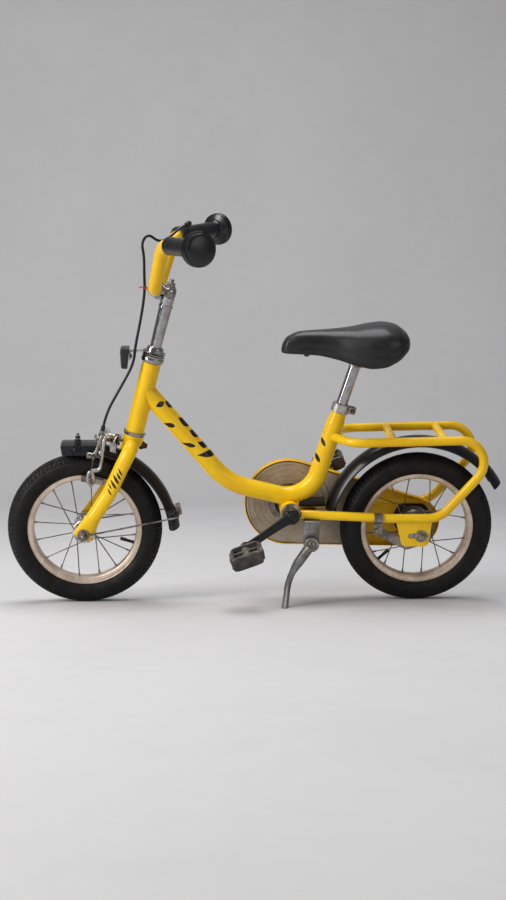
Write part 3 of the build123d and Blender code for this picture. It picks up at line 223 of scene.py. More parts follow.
class Shape:
    """A mesh in the making, in the bicycle's axes, with a finish for each face."""

    def __init__(self, name: str) -> None:
        """Starts an empty shape with the name that its piece will carry."""
        self.name = name
        self.mesh = bmesh.new()
        self.finish = 0

    def dress(self, index: int) -> Shape:
        """Sets which of the piece's finishes the next faces take."""
        self.finish = index
        return self

    def skin(self, rings: Sequence[Sequence[Point]], loop: bool = False) -> Shape:
        """Joins rings of points into a surface.

        Args:
            rings: Closed rings with the same number of points each.
            loop: Whether the last ring joins the first; otherwise both get a cap.

        Returns:
            The shape itself.
        """
        rows = [[self.mesh.verts.new(point) for point in ring] for ring in rings]
        faces = [] if loop else [rows[0], rows[-1]]
        for near, far in zip(rows, rows[1:] + rows[:1] if loop else rows[1:]):
            for step in range(len(near)):
                after = (step + 1) % len(near)
                faces.append((near[step], near[after], far[after], far[step]))
        for corners_of_face in faces:
            self.mesh.faces.new(corners_of_face).material_index = self.finish
        return self

    def lathe(
        self, profile: Profile, origin: Point, axis: Point, segments: int = 24, closed: bool = False
    ) -> Shape:
        """Turns a profile about an axis.

        Args:
            profile: Pairs of a distance along the axis and a radius.
            origin: The point that the distances start from.
            axis: The direction that the distances run in.
            segments: The number of steps round the axis, or of flats.
            closed: Whether the profile's end joins its start, as in a ring.

        Returns:
            The shape itself.
        """
        way = Vector(axis).normalized()
        first, second = basis(way)
        rings = []
        for along, radius in profile:
            middle, reach = Vector(origin) + way * along, max(radius, 0.01)
            round_points = oval(segments, reach, reach)
            rings.append([middle + first * u + second * v for u, v in round_points])
        return self.skin(rings, closed)

    def hoop(self, profile: Profile, origin: Point, axis: Point, segments: int = 48) -> Shape:
        """Turns a closed profile into a ring about an axis."""
        return self.lathe(profile, origin, axis, segments, True)

    def tube(
        self,
        path: Sequence[Point],
        radius: float | Sequence[float],
        segments: int = 20,
        flat: float = 1.0,
        flat_way: Optional[Point] = None,
    ) -> Shape:
        """Sweeps a round or oval section along a path.

        Args:
            path: The points that the section follows.
            radius: One radius, or one for each point.
            segments: The number of points round the section.
            flat: The section's height as a share of its width.
            flat_way: The direction in which the section is thinned.

        Returns:
            The shape itself.
        """
        points = [Vector(point) for point in path]
        radii = [radius] * len(points) if isinstance(radius, (int, float)) else radius
        rings = []
        up = Vector(flat_way).normalized() if flat_way else None
        for before, point, after, reach in zip(
            points[:1] + points, points, points[1:] + points[-1:], radii
        ):
            way = (after - before).normalized()
            up = basis(way)[0] if up is None else up
            up = (up - way * up.dot(way)).normalized()
            side = way.cross(up)
            section = oval(segments, reach, reach * flat)
            rings.append([point + side * u + up * v for u, v in section])
        return self.skin(rings)

    def plate(
        self,
        outline: Profile,
        origin: Point,
        thick: float,
        edge: float,
        turn: Optional[Matrix] = None,
    ) -> Shape:
        """Cuts an upright plate, which faces sideways, with its edges broken.

        Args:
            outline: Pairs of a distance backwards and a height.
            origin: The middle of the plate's thickness at the pair 0, 0.
            thick: Its thickness.
            edge: The width of the chamfer round both faces.
            turn: A rotation, if it isn't square to the axes.

        Returns:
            The shape itself.
        """
        spin = turn or Matrix.Identity(3)
        middle_u, middle_v = (sum(values) / len(outline) for values in zip(*outline))
        rings = []
        shoulder = 1 - 2 * edge / thick
        for depth, inset in ((-1, edge), (-shoulder, 0.0), (shoulder, 0.0), (1, edge)):
            ring = []
            for u, v in outline:
                reach = math.hypot(u - middle_u, v - middle_v)
                share = max(reach - inset, 0.0) / reach if reach else 1.0
                u, v = middle_u + (u - middle_u) * share, middle_v + (v - middle_v) * share
                ring.append(Vector(origin) + spin @ Vector((u, -depth * thick / 2, v)))
            rings.append(ring)
        return self.skin(rings)

    def block(
        self, centre: Point, size: Point, turn: Optional[Matrix] = None, edge: float = 0.8
    ) -> Shape:
        """Adds a box with broken edges.

        Args:
            centre: The box's middle.
            size: Its three lengths.
            turn: A rotation, if it isn't square to the axes.
            edge: The width of its chamfers.

        Returns:
            The shape itself.
        """
        half = [length / 2 for length in size]
        spin = turn or Matrix.Identity(3)
        rings, tall = [], half[2]
        for level, inset in ((-tall, edge), (edge - tall, 0), (tall - edge, 0), (tall, edge)):
            wide, deep = half[0] - inset, half[1] - inset
            near = wide - edge
            right = ((near, -deep), (wide, edge - deep), (wide, deep - edge), (near, deep))
            around = list(right) + mirrored(right)
            rings.append([Vector(centre) + spin @ Vector((u, v, level)) for u, v in around])
        return self.skin(rings)

    def bolt(
        self, foot: Point, axis: Point, radius: float, height: float, washer: float = 0.0
    ) -> Shape:
        """Adds a hexagon head.

        Args:
            foot: The middle of the face that it sits on.
            axis: The direction that it stands in.
            radius: The hexagon's radius to its corners.
            height: Its height.
            washer: The radius of the washer face under it, if it has one.

        Returns:
            The shape itself.
        """
        way = Vector(axis).normalized()
        start = Vector(foot)
        if washer:
            self.lathe(((0, washer), (0.8, washer), (1.0, washer - 0.3)), start, way, 32)
            start = start + way
        crown = ((0, radius * 0.96), (0.3, radius), (height - 0.8, radius), (height, radius * 0.84))
        self.lathe(crown, start, way, 6)
        face = ((height - 0.05, radius * 0.7), (height + 0.1, radius * 0.55))
        return self.lathe(face, start, way)


@dataclass(frozen=True)
class Workshop:
    """Turns shapes into pieces of the bicycle, in the frame's axes."""

    stance: Matrix
    nodes: dict[str, bpy.types.Object]

    @classmethod
    def open(cls, frame: dict) -> Workshop:
        """Reads the stance from the rear wheel's joint.


        Returns:
            The workshop.
        """
        spin = next(joint for joint in frame["joints"] if joint["name"] == "rear_wheel_spin")
        across = Vector(spin["axis"]).normalized()
        turn = Matrix((ALONG, across, ALONG.cross(across))).transposed()
        stance = (turn * MM).to_4x4()
        stance.translation = Vector(spin["pos_m"]) - turn @ Vector((0.0, 0.0, AXLE_Z * MM))
        return cls(stance, frame["nodes"])

    @staticmethod
    def fit(
        piece: bpy.types.Object, body: Body, replaces: Sequence[str] = (), slot: str = ""
    ) -> None:
        """Puts a piece in the scene, on its body.

        Args:
            piece: The new piece.
            body: The body that it rides on.
            replaces: The solids that it stands for.
            slot: Not used.
        """
        bpy.context.scene.collection.objects.link(piece)
        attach(piece, body.value)
        if replaces:
            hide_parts(*replaces)
        LOG.info("made %s", piece.name)

    def add(
        self,
        shape: Shape,
        body: Body,
        finishes: Sequence[Material],
        replaces: Sequence[str] = (),
        slot: str = "",
        sharp: float = 35.0,
    ) -> bpy.types.Object:
        """Makes a piece from a shape.

        Args:
            shape: The finished shape, which is used up.
            body: The body that the piece rides on.
            finishes: Its materials, in the order of the shape's numbers.
            replaces: The solids that it stands for.
            slot: A material slot's name, handed on to fit, which doesn't use it.
            sharp: Edges that turn by more degrees than this stay crisp.

        Returns:
            The piece.
        """
        bmesh.ops.recalc_face_normals(shape.mesh, faces=shape.mesh.faces)
        shape.mesh.transform(self.stance)
        mesh = bpy.data.meshes.new(shape.name)
        shape.mesh.to_mesh(mesh)
        shape.mesh.free()
        for finish in finishes:
            mesh.materials.append(finish)
        mesh.shade_smooth()
        mesh.set_sharp_from_angle(angle=math.radians(sharp))
        piece = bpy.data.objects.new(shape.name, mesh)
        self.fit(piece, body, replaces, slot)
        return piece

    def dress(self, finish: Material, *names: str) -> None:
        """Gives solids that keep their shape a finish.

        Args:
            finish: The material.
            names: The solids' names.
        """
        for name in names:
            materials = self.nodes[name].data.materials
            materials.clear()
            materials.append(finish)
            LOG.info("dressed %s", name)


# ------------------------------------------------------------------ effects
class Kind(str, Enum):
    """What a socket of a node group carries."""

    FLOAT = "NodeSocketFloat"
    VECTOR = "NodeSocketVector"
    COLOR = "NodeSocketColor"

    @classmethod
    def of(cls, value: object) -> Kind:
        """The kind that suits a number, three numbers or a colour."""
        return {3: cls.VECTOR, 4: cls.COLOR}[len(value)] if isinstance(value, tuple) else cls.FLOAT


@dataclass(frozen=True)
class Wiring:
    """Short ways to lay nodes in one tree."""

    tree: bpy.types.NodeTree

    def feed(self, socket: Socket, value: object) -> None:
        """Links a socket into another, or sets its value.

        Args:
            socket: The socket that is fed.
            value: The socket or the plain value that feeds it.
        """
        if isinstance(value, Socket):
            self.tree.links.new(value, socket)
        else:
            socket.default_value = value

    def node(self, kind: str, *values: object, **given: object) -> bpy.types.Node:
        """Adds a node.

        Args:
            kind: The end of the node's type.
            *values: Values or sockets for its inputs, in order.
            **given: Its options, and inputs by name, with _ for a space.

        Returns:
            The node.
        """
        node = self.tree.nodes.new("ShaderNode" + kind)
        for key, value in given.items():
            label = key.replace("_", " ")
            if label in node.inputs:
                self.feed(node.inputs[label], value)
            else:
                setattr(node, key, value)
        for socket, value in zip(node.inputs, values):
            self.feed(socket, value)
        return node

    def math(self, operation: str, *values: object) -> Socket:
        """A sum, product or comparison of numbers."""
        return self.node("Math", *values, operation=operation).outputs[0]

    def vector(self, operation: str, *values: object) -> Socket:
        """A vector from others."""
        return self.node("VectorMath", *values, operation=operation).outputs[0]

    def measure(self, operation: str, *values: object) -> Socket:
        """A number from vectors."""
        return self.node("VectorMath", *values, operation=operation).outputs["Value"]

    def scaled(self, vector: Socket, share: object) -> Socket:
        """A vector times a number."""
        return self.node("VectorMath", vector, operation="SCALE", Scale=share).outputs[0]

    def blend(self, share: object, first: object, second: object) -> Socket:
        """A number between two others."""
        span = self.math("SUBTRACT", second, first)
        return self.math("ADD", first, self.math("MULTIPLY", span, share))

    def band(
        self, value: object, low: float, high: float, start: float = 0.0, end: float = 1.0
    ) -> Socket:
        """Maps a range of a number to another, clamped and eased."""
        ends = {"From Min": low, "From Max": high, "To Min": start, "To Max": end}
        node = self.node("MapRange", value, interpolation_type="SMOOTHSTEP", **ends)
        return node.outputs["Result"]

    def mix(self, share: object, first: object, second: object) -> Socket:
        """A blend of two colours.

        Args:
            share: How much of the second one there is.
            first: A colour.
            second: Another colour.

        Returns:
            The blend's socket.
        """
        node = self.node("Mix", share, data_type="RGBA")
        self.feed(node.inputs[6], first)
        self.feed(node.inputs[7], second)
        return node.outputs[2]

    def noise(
        self, where: object, scale: object, detail: float = 4.0, rough: float = 0.55
    ) -> Socket:
        """Fractal noise at a place."""
        node = self.node("TexNoise", where, Scale=scale, Detail=detail, Roughness=rough)
        return node.outputs["Fac"]

    def place(self) -> Socket:
        """Where the shaded point is, in the frame's metres."""
        return self.node("TexCoord").outputs["Object"]

    def bump(self, height: Socket, depth: float, strength: float) -> Socket:
        """The normal of a surface with a height, in metres."""
        return self.node("Bump", Strength=strength, Distance=depth, Height=height).outputs["Normal"]

    def group(self, effect: type[Effect], **values: object) -> bpy.types.NodeOutputs:
        """Places an effect with its own values, and hands over its outputs."""
        return self.node("Group", node_tree=effect.built(), **values).outputs


class Effect(Wiring):
    """A shader node group with named inputs and outputs, built once."""

    name = "effect"
    inputs: dict[str, object] = {}
    outputs: dict[str, Kind] = {}

    @classmethod
    def built(cls) -> bpy.types.ShaderNodeTree:
        """The group, laid on its first use.

        Returns:
            The group's tree.
        """
        tree = bpy.data.node_groups.get(cls.name)
        if tree:
            return tree
        tree = bpy.data.node_groups.new(cls.name, "ShaderNodeTree")
        for label, value in cls.inputs.items():
            kind = Kind.of(value).value
            socket = tree.interface.new_socket(name=label, in_out="INPUT", socket_type=kind)
            socket.default_value = value
        for label, kind in cls.outputs.items():
            tree.interface.new_socket(name=label, in_out="OUTPUT", socket_type=kind.value)
        entry = tree.nodes.new("NodeGroupInput")
        leave = tree.nodes.new("NodeGroupOutput")
        given = {label: entry.outputs[label] for label in cls.inputs}
        for label, socket in cls(tree).wire(given).items():
            tree.links.new(socket, leave.inputs[label])
        return tree

    def wire(self, given: Sockets) -> Sockets:
        """Lays the group's nodes from its inputs and returns its outputs by name."""
        raise NotImplementedError


class Mottle(Effect):
    """Slow, soft variation of a colour and a gloss, as on any used surface."""

    name = "soft mottle"
    inputs = {
        "Scale": 12.0,
        "Base": (0.5, 0.5, 0.5, 1.0),
        "Shade": (0.4, 0.4, 0.4, 1.0),
        "Dull": 0.4,
        "Gloss": 0.3,
    }
    outputs = {"Color": Kind.COLOR, "Roughness": Kind.FLOAT}

    def wire(self, given: Sockets) -> Sockets:
        """Blends the two colours and the two roughnesses by two scales of noise.

        Args:
            given: The group's inputs by name.

        Returns:
            Its outputs by name.
        """
        place = self.place()
        broad = self.noise(place, given["Scale"], 3.0)
        fine = self.noise(place, self.math("MULTIPLY", given["Scale"], 7.0))
        parts = self.math("MULTIPLY", broad, 0.65), self.math("MULTIPLY", fine, 0.35)
        both = self.math("ADD", *parts)
        share = self.band(both, 0.36, 0.66)
        color = self.mix(share, given["Base"], given["Shade"])
        return {"Color": color, "Roughness": self.blend(share, given["Gloss"], given["Dull"])}


class Dust(Effect):
    """Pale dust that settles on faces that look up, and in patches."""

    name = "settled dust"
    inputs = {
        "Color": (0.5, 0.5, 0.5, 1.0),
        "Dust": (0.42, 0.37, 0.31, 1.0),
        "Amount": 0.2,
        "Scale": 60.0,
    }
    outputs = {"Color": Kind.COLOR, "Mask": Kind.FLOAT}

    def wire(self, given: Sockets) -> Sockets:
        """Makes the mask from the upward share of the normal, times noise.

        Args:
            given: The group's inputs by name.

        Returns:
            Its outputs by name.
        """
        normal = self.node("NewGeometry").outputs["Normal"]
        upward = self.band(self.node("SeparateXYZ", normal).outputs["Z"], -0.2, 0.95, 0.15)
        patches = self.band(self.noise(self.place(), given["Scale"], 6.0, 0.65), 0.38, 0.72)
        mask = self.math("MULTIPLY", self.math("MULTIPLY", upward, patches), given["Amount"])
        return {"Color": self.mix(mask, given["Color"], given["Dust"]), "Mask": mask}


class Scuffs(Effect):
    """Fine short scratches in two directions, in patches."""

    name = "fine scuffs"
    inputs = {"Scale": 90.0, "Amount": 0.5}
    outputs = {"Mask": Kind.FLOAT}

    def wire(self, given: Sockets) -> Sockets:
        """Cuts stretched noise to thin lines and gates it by a broader noise.

        Args:
            given: The group's inputs by name.

        Returns:
            Its outputs by name.
        """
        place = self.place()
        lines = []
        for stretch in ((1.0, 0.12, 9.0), (0.15, 1.0, 7.0)):
            drawn = self.vector("MULTIPLY", place, stretch)
            lines.append(self.band(self.noise(drawn, given["Scale"], 2.0, 0.7), 0.66, 0.74))
        gate = self.band(self.noise(place, 18.0, 3.0), 0.48, 0.7)
        shown = self.math("MULTIPLY", self.math("MAXIMUM", *lines), gate)
        return {"Mask": self.math("MULTIPLY", shown, given["Amount"])}


class Grain(Effect):
    """A moulded or sprayed surface's fine grain, as a height."""

    name = "fine grain"
    inputs = {"Scale": 900.0, "Soft": 0.5}
    outputs = {"Height": Kind.FLOAT}

    def wire(self, given: Sockets) -> Sockets:
        """Softens fine noise towards a broader one.

        Args:
            given: The group's inputs by name.

        Returns:
            Its outputs by name.
        """
        place = self.place()
        fine = self.noise(place, given["Scale"], 3.0, 0.6)
        broad = self.noise(place, self.math("MULTIPLY", given["Scale"], 0.12), 2.0)
        return {"Height": self.blend(given["Soft"], fine, broad)}


class Hide(Effect):
    """The pebbled cells of a leather-like cover, with their creases."""

    name = "cover grain"
    inputs = {"Scale": 620.0}
    outputs = {"Height": Kind.FLOAT, "Mask": Kind.FLOAT}

    def wire(self, given: Sockets) -> Sockets:
        """Draws cells on a place that noise has bent.

        Args:
            given: The group's inputs by name.

        Returns:
            Its outputs by name.
        """
        place = self.place()
        bend = self.node("TexNoise", place, Scale=140.0, Detail=2.0).outputs["Color"]
        bent = self.vector("ADD", place, self.scaled(bend, 0.0035))
        cells = self.node("TexVoronoi", bent, feature="SMOOTH_F1", Scale=given["Scale"])
        height = self.band(cells.outputs["Distance"], 0.0, 0.75, 1.0, 0.0)
        # the mask marks the creases, which the cover darkens as painted shade and roughens
        return {"Height": height, "Mask": self.band(height, 0.1, 0.4, 1.0, 0.0)}


class Brushing(Effect):
    """The lines that polishing or drawing leaves along one direction."""

    name = "brushed lines"
    inputs = {"Stretch": (1.0, 0.04, 1.0), "Scale": 700.0, "Gloss": 0.2, "Dull": 0.4}
    outputs = {"Roughness": Kind.FLOAT, "Height": Kind.FLOAT}

    def wire(self, given: Sockets) -> Sockets:
        """Draws the lines with stretched noise, and their gloss with a broad one.

        Args:
            given: The group's inputs by name.

        Returns:
            Its outputs by name.
        """
        place = self.place()
        lines = self.noise(self.vector("MULTIPLY", place, given["Stretch"]), given["Scale"], 2.0)
        broad = self.noise(place, 25.0, 3.0)
        share = self.band(self.math("MULTIPLY", self.math("ADD", lines, broad), 0.5), 0.35, 0.65)
        return {"Roughness": self.blend(share, given["Gloss"], given["Dull"]), "Height": lines}


class Upright(Effect):
    """The shaded point in the bicycle's own upright axes, in metres."""

    name = "upright place"
    inputs = {"Foot": (0.0, 0.0, 0.0)}
    outputs = {"Vector": Kind.VECTOR}

    def wire(self, given: Sockets) -> Sockets:
        """Measures from the rear contact and turns the lean back."""
        place = self.vector("SUBTRACT", self.place(), given["Foot"])
        node = self.node("VectorRotate", place, rotation_type="X_AXIS", Angle=-LEAN)
        return {"Vector": node.outputs["Vector"]}


class Stroke(Effect):
    """One leaf-shaped stroke of a stripe between two points, as a mask."""

    name = "leaf stroke"
    inputs = {
        "Place": (0.0, 0.0, 0.0),
        "Start": (0.0, 0.0, 0.0),
        "End": (0.0, 0.0, 0.01),
        "Width": 0.003,
        "Before": 0.0,
    }
    outputs = {"Mask": Kind.FLOAT}

    def wire(self, given: Sockets) -> Sockets:
        """Compares the distance to the line with a half width that tapers at both ends.

        Args:
            given: The group's inputs by name.

        Returns:
            Its outputs by name.
        """
        way = self.vector("SUBTRACT", given["End"], given["Start"])
        reach = self.vector("SUBTRACT", given["Place"], given["Start"])
        run, whole = (self.measure("DOT_PRODUCT", arrow, way) for arrow in (reach, way))
        along = self.math("DIVIDE", run, whole)
        share = self.node("Clamp", along).outputs[0]
        gap = self.vector("SUBTRACT", reach, self.scaled(way, share))
        distance = self.measure("LENGTH", self.vector("MULTIPLY", gap, (1.0, 0.15, 1.0)))
        late = self.math("POWER", share, 1.45)
        belly = self.math("POWER", self.math("SINE", self.math("MULTIPLY", late, math.pi)), 0.7)
        inside = self.math("SUBTRACT", self.math("MULTIPLY", given["Width"], belly), distance)
        return {"Mask": self.math("MAXIMUM", self.band(inside, -0.00012, 0.00018), given["Before"])}


# ----------------------------------------------------------------- finishes
def linear(display: Rgb) -> Color:
    """A display colour of 0 to 255 as the shader's own light values."""
    shares = [part / 255 for part in display]
    values = [s / 12.92 if s <= 0.04045 else ((s + 0.055) / 1.055) ** 2.4 for s in shares]
    return (values[0], values[1], values[2], 1.0)


@dataclass(frozen=True)
class Finish:
    """A material in the making, with its display colour and a darker one."""

    label: str
    base: Rgb
    shade: Rgb

    def build(self) -> Material:
        """Makes the material and its shader.

        Returns:
            The material.
        """
        material = bpy.data.materials.new(self.label)
        material.use_nodes = True
        material.node_tree.nodes.clear()
        wiring = Wiring(material.node_tree)
        shader = wiring.node("BsdfPrincipled")
        wiring.node("OutputMaterial", shader.outputs[0])
        for label, value in self.lay(wiring).items():
            wiring.feed(shader.inputs[label], value)
        return material

    def lay(self, wiring: Wiring) -> dict[str, object]:
        """Lays the finish's nodes and returns what the shader's sockets get."""
        raise NotImplementedError

    def mottle(
        self, wiring: Wiring, scale: float, gloss: float = 0.0, dull: float = 1.0
    ) -> bpy.types.NodeOutputs:
        """The finish's two colours and its gloss, softly mixed."""
        base, shade = linear(self.base), linear(self.shade)
        return wiring.group(Mottle, Scale=scale, Base=base, Shade=shade, Dull=dull, Gloss=gloss)


@dataclass(frozen=True)
class Enamel(Finish):
    """Gloss paint with a clear coat, soft orange peel, dust and fine scuffs."""

    gloss: float = 0.22
    dull: float = 0.4
    dust: float = 0.06
    peel: float = 0.00012
    scuff: float = 0.35
    bare: Color = (0.12, 0.1, 0.08, 1.0)
    strokes: Strokes = ()
    foot: Triple = (0.0, 0.0, 0.0)

    def lay(self, wiring: Wiring) -> dict[str, object]:
        """Lays the paint, its stripes, its scuffs and its dust.

        Args:
            wiring: The material's wiring.

        Returns:
            The shader's sockets by name.
        """
        mottle = self.mottle(wiring, 9.0, self.gloss, self.dull)
        color = mottle["Color"]
        if self.strokes:
            color = wiring.mix(self.stripes(wiring), color, linear((26, 21, 17)))
        scuffs = wiring.group(Scuffs, Scale=120.0, Amount=self.scuff)
        worn = wiring.mix(scuffs["Mask"], color, self.bare)
        dusty = wiring.group(Dust, Color=worn, Amount=self.dust)
        grain = wiring.group(Grain, Scale=420.0, Soft=0.7)
        matt = wiring.math("MULTIPLY", dusty["Mask"], 0.5)
        return {
            "Base Color": dusty["Color"],
            "Roughness": wiring.math("ADD", mottle["Roughness"], matt),
            "Coat Weight": 0.3,
            "Coat Roughness": 0.16,
            "Specular IOR Level": 0.2,
            "Normal": wiring.bump(grain["Height"], self.peel, 0.5),
        }

    def stripes(self, wiring: Wiring) -> Socket:
        """Draws the strokes on both flanks of the frame.

        Args:
            wiring: The material's wiring.

        Returns:
            The mask of all strokes.
        """
        place = wiring.group(Upright, Foot=self.foot)["Vector"]
        x, y, z = wiring.node("SeparateXYZ", place).outputs
        near = wiring.math("MULTIPLY", wiring.math("ABSOLUTE", y), -1.0)
        folded = wiring.node("CombineXYZ", x, near, z).outputs[0]
        mask: object = 0.0
        for begin, end, width in self.strokes:
            start, finish = (tuple(value * MM for value in spot) for spot in (begin, end))
            stroke = {"Place": folded, "Start": start, "End": finish, "Width": width * MM}
            mask = wiring.group(Stroke, Before=mask, **stroke)["Mask"]
        return mask


@dataclass(frozen=True)
class Metal(Finish):
    """Bare or plated metal with brushed lines, tarnish and dirt."""

    gloss: float = 0.15
    dull: float = 0.35
    stretch: Triple = (1.0, 0.05, 1.0)
    dust: float = 0.1

    def lay(self, wiring: Wiring) -> dict[str, object]:
        """Lays the metal, its tarnish and its dirt.

        Args:
            wiring: The material's wiring.

        Returns:
            The shader's sockets by name.
        """
        lines = {"Stretch": self.stretch, "Scale": 900.0, "Gloss": self.gloss, "Dull": self.dull}
        brushing = wiring.group(Brushing, **lines)
        scuffs = wiring.group(Scuffs, Scale=160.0, Amount=0.3)["Mask"]
        worn = wiring.mix(scuffs, self.mottle(wiring, 35.0)["Color"], linear(self.shade))
        dusty = wiring.group(Dust, Color=worn, Amount=self.dust, Scale=140.0)
        scraped = wiring.math("MULTIPLY", scuffs, 0.25)
        return {
            "Base Color": dusty["Color"],
            "Metallic": wiring.math("SUBTRACT", 1.0, dusty["Mask"]),
            "Roughness": wiring.math("ADD", brushing["Roughness"], scraped),
            "Normal": wiring.bump(brushing["Height"], 0.00003, 0.5),
        }


@dataclass(frozen=True)
class Plastic(Finish):
    """Moulded plastic or rubber with a fine grain, dust and scuffs."""

    gloss: float = 0.35
    dull: float = 0.55
    grain: float = 900.0
    depth: float = 0.0001
    dust: float = 0.15
    scuff: float = 0.3
    bare: Color = (0.16, 0.15, 0.14, 1.0)
    sheen: float = 0.3

    def lay(self, wiring: Wiring) -> dict[str, object]:
        """Lays the plastic, its grain, its scuffs and its dust.

        Args:
            wiring: The material's wiring.

        Returns:
            The shader's sockets by name.
        """
        mottle = self.mottle(wiring, 22.0, self.gloss, self.dull)
        scuffs = wiring.group(Scuffs, Scale=110.0, Amount=self.scuff)
        worn = wiring.mix(scuffs["Mask"], mottle["Color"], self.bare)
        dusty = wiring.group(Dust, Color=worn, Amount=self.dust, Scale=80.0)
        grain = wiring.group(Grain, Scale=self.grain, Soft=0.3)
        matt = wiring.math("MULTIPLY", dusty["Mask"], 0.4)
        return {
            "Base Color": dusty["Color"],
            "Roughness": wiring.math("ADD", mottle["Roughness"], matt),
            "Specular IOR Level": self.sheen,
            "Normal": wiring.bump(grain["Height"], self.depth, 0.6),
        }


@dataclass(frozen=True)
class Leatherette(Finish):
    """The saddle's smooth cover, with a pebbled grain whose creases carry painted shade, and worn
    gloss.
    """

    def lay(self, wiring: Wiring) -> dict[str, object]:
        """Lays the cover, its grain with painted shade in the creases, and its gloss.

        Args:
            wiring: The material's wiring.

        Returns:
            The shader's sockets by name.
        """
        mottle = self.mottle(wiring, 14.0, 0.36, 0.52)
        hide = wiring.group(Hide, Scale=640.0)
        # painted shade: the grain's creases take the darker shade colour
        deep = wiring.mix(hide["Mask"], mottle["Color"], linear(self.shade))
        creases = wiring.math("MULTIPLY", hide["Mask"], 0.15)
        return {
            "Base Color": wiring.group(Dust, Color=deep, Amount=0.05, Scale=45.0)["Color"],
            "Roughness": wiring.math("ADD", mottle["Roughness"], creases),
            "Coat Weight": 0.3,
            "Coat Roughness": 0.26,
            "Specular IOR Level": 0.3,
            "Normal": wiring.bump(hide["Height"], 0.00018, 0.45),
        }


@dataclass(frozen=True)
class Lens(Finish):
    """A reflector's ribbed lens, backed by bright cells."""

    def lay(self, wiring: Wiring) -> dict[str, object]:
        """Lays small corner cells under a gloss face.

        Args:
            wiring: The material's wiring.

        Returns:
            The shader's sockets by name.
        """
        cells = wiring.node("TexVoronoi", wiring.place(), feature="F1", Scale=420.0)
        depth = cells.outputs["Distance"]
        share = wiring.band(depth, 0.1, 0.6)
        color = wiring.mix(share, linear(self.base), linear(self.shade))
        return {
            "Base Color": wiring.group(Dust, Color=color, Amount=0.15)["Color"],
            "Coat Weight": 0.8,
            "Coat Roughness": 0.05,
            "Roughness": wiring.band(share, 0.0, 1.0, 0.25, 0.5),
            "Normal": wiring.bump(depth, 0.0004, 0.6),
        }


TUBE_STROKES: Strokes = (
    ((-510.5, -14.0, 395.4), (-494.1, -14.0, 403.2), 5.4),
    ((-493.3, -14.0, 405.1), (-475.0, -14.0, 393.3), 5.6),
    ((-472.4, -14.0, 386.5), (-467.6, -14.0, 381.6), 1.8),
    ((-467.8, -14.0, 373.8), (-443.6, -14.0, 355.0), 5.8),
    ((-495.6, -14.0, 362.0), (-473.3, -14.0, 357.1), 5.0),
    ((-446.8, -14.0, 349.2), (-426.5, -14.0, 334.3), 5.4),
    ((-430.5, -14.0, 325.4), (-410.1, -14.0, 314.4), 5.2),
    ((-461.3, -14.0, 323.5), (-434.1, -14.0, 317.5), 4.4),
    ((-432.5, -14.0, 299.6), (-390.7, -14.0, 303.5), 6.2),
    ((-189.4, -16.0, 350.2), (-186.3, -16.0, 340.3), 1.9),
    ((-193.6, -16.0, 337.3), (-184.8, -16.0, 316.4), 3.4),
    ((-199.4, -16.0, 323.4), (-196.5, -16.0, 313.5), 1.7),
    ((-204.2, -16.0, 305.5), (-194.8, -16.0, 284.5), 3.9),
    ((-214.0, -16.0, 269.5), (-210.9, -16.0, 259.5), 1.5),
)
LEG_STROKES: Strokes = (
    ((-602.9, -56.0, 246.7), (-594.5, -56.0, 231.6), 1.7),
    ((-601.4, -56.0, 256.9), (-594.3, -56.0, 243.7), 1.6),
    ((-597.4, -56.0, 264.2), (-585.4, -56.0, 244.0), 2.6),
    ((-592.3, -56.0, 274.1), (-580.6, -56.0, 253.9), 2.8),
    ((-584.5, -56.0, 277.2), (-576.8, -56.0, 262.3), 2.2),
    ((-581.6, -56.0, 285.8), (-573.7, -56.0, 269.8), 1.9),
)


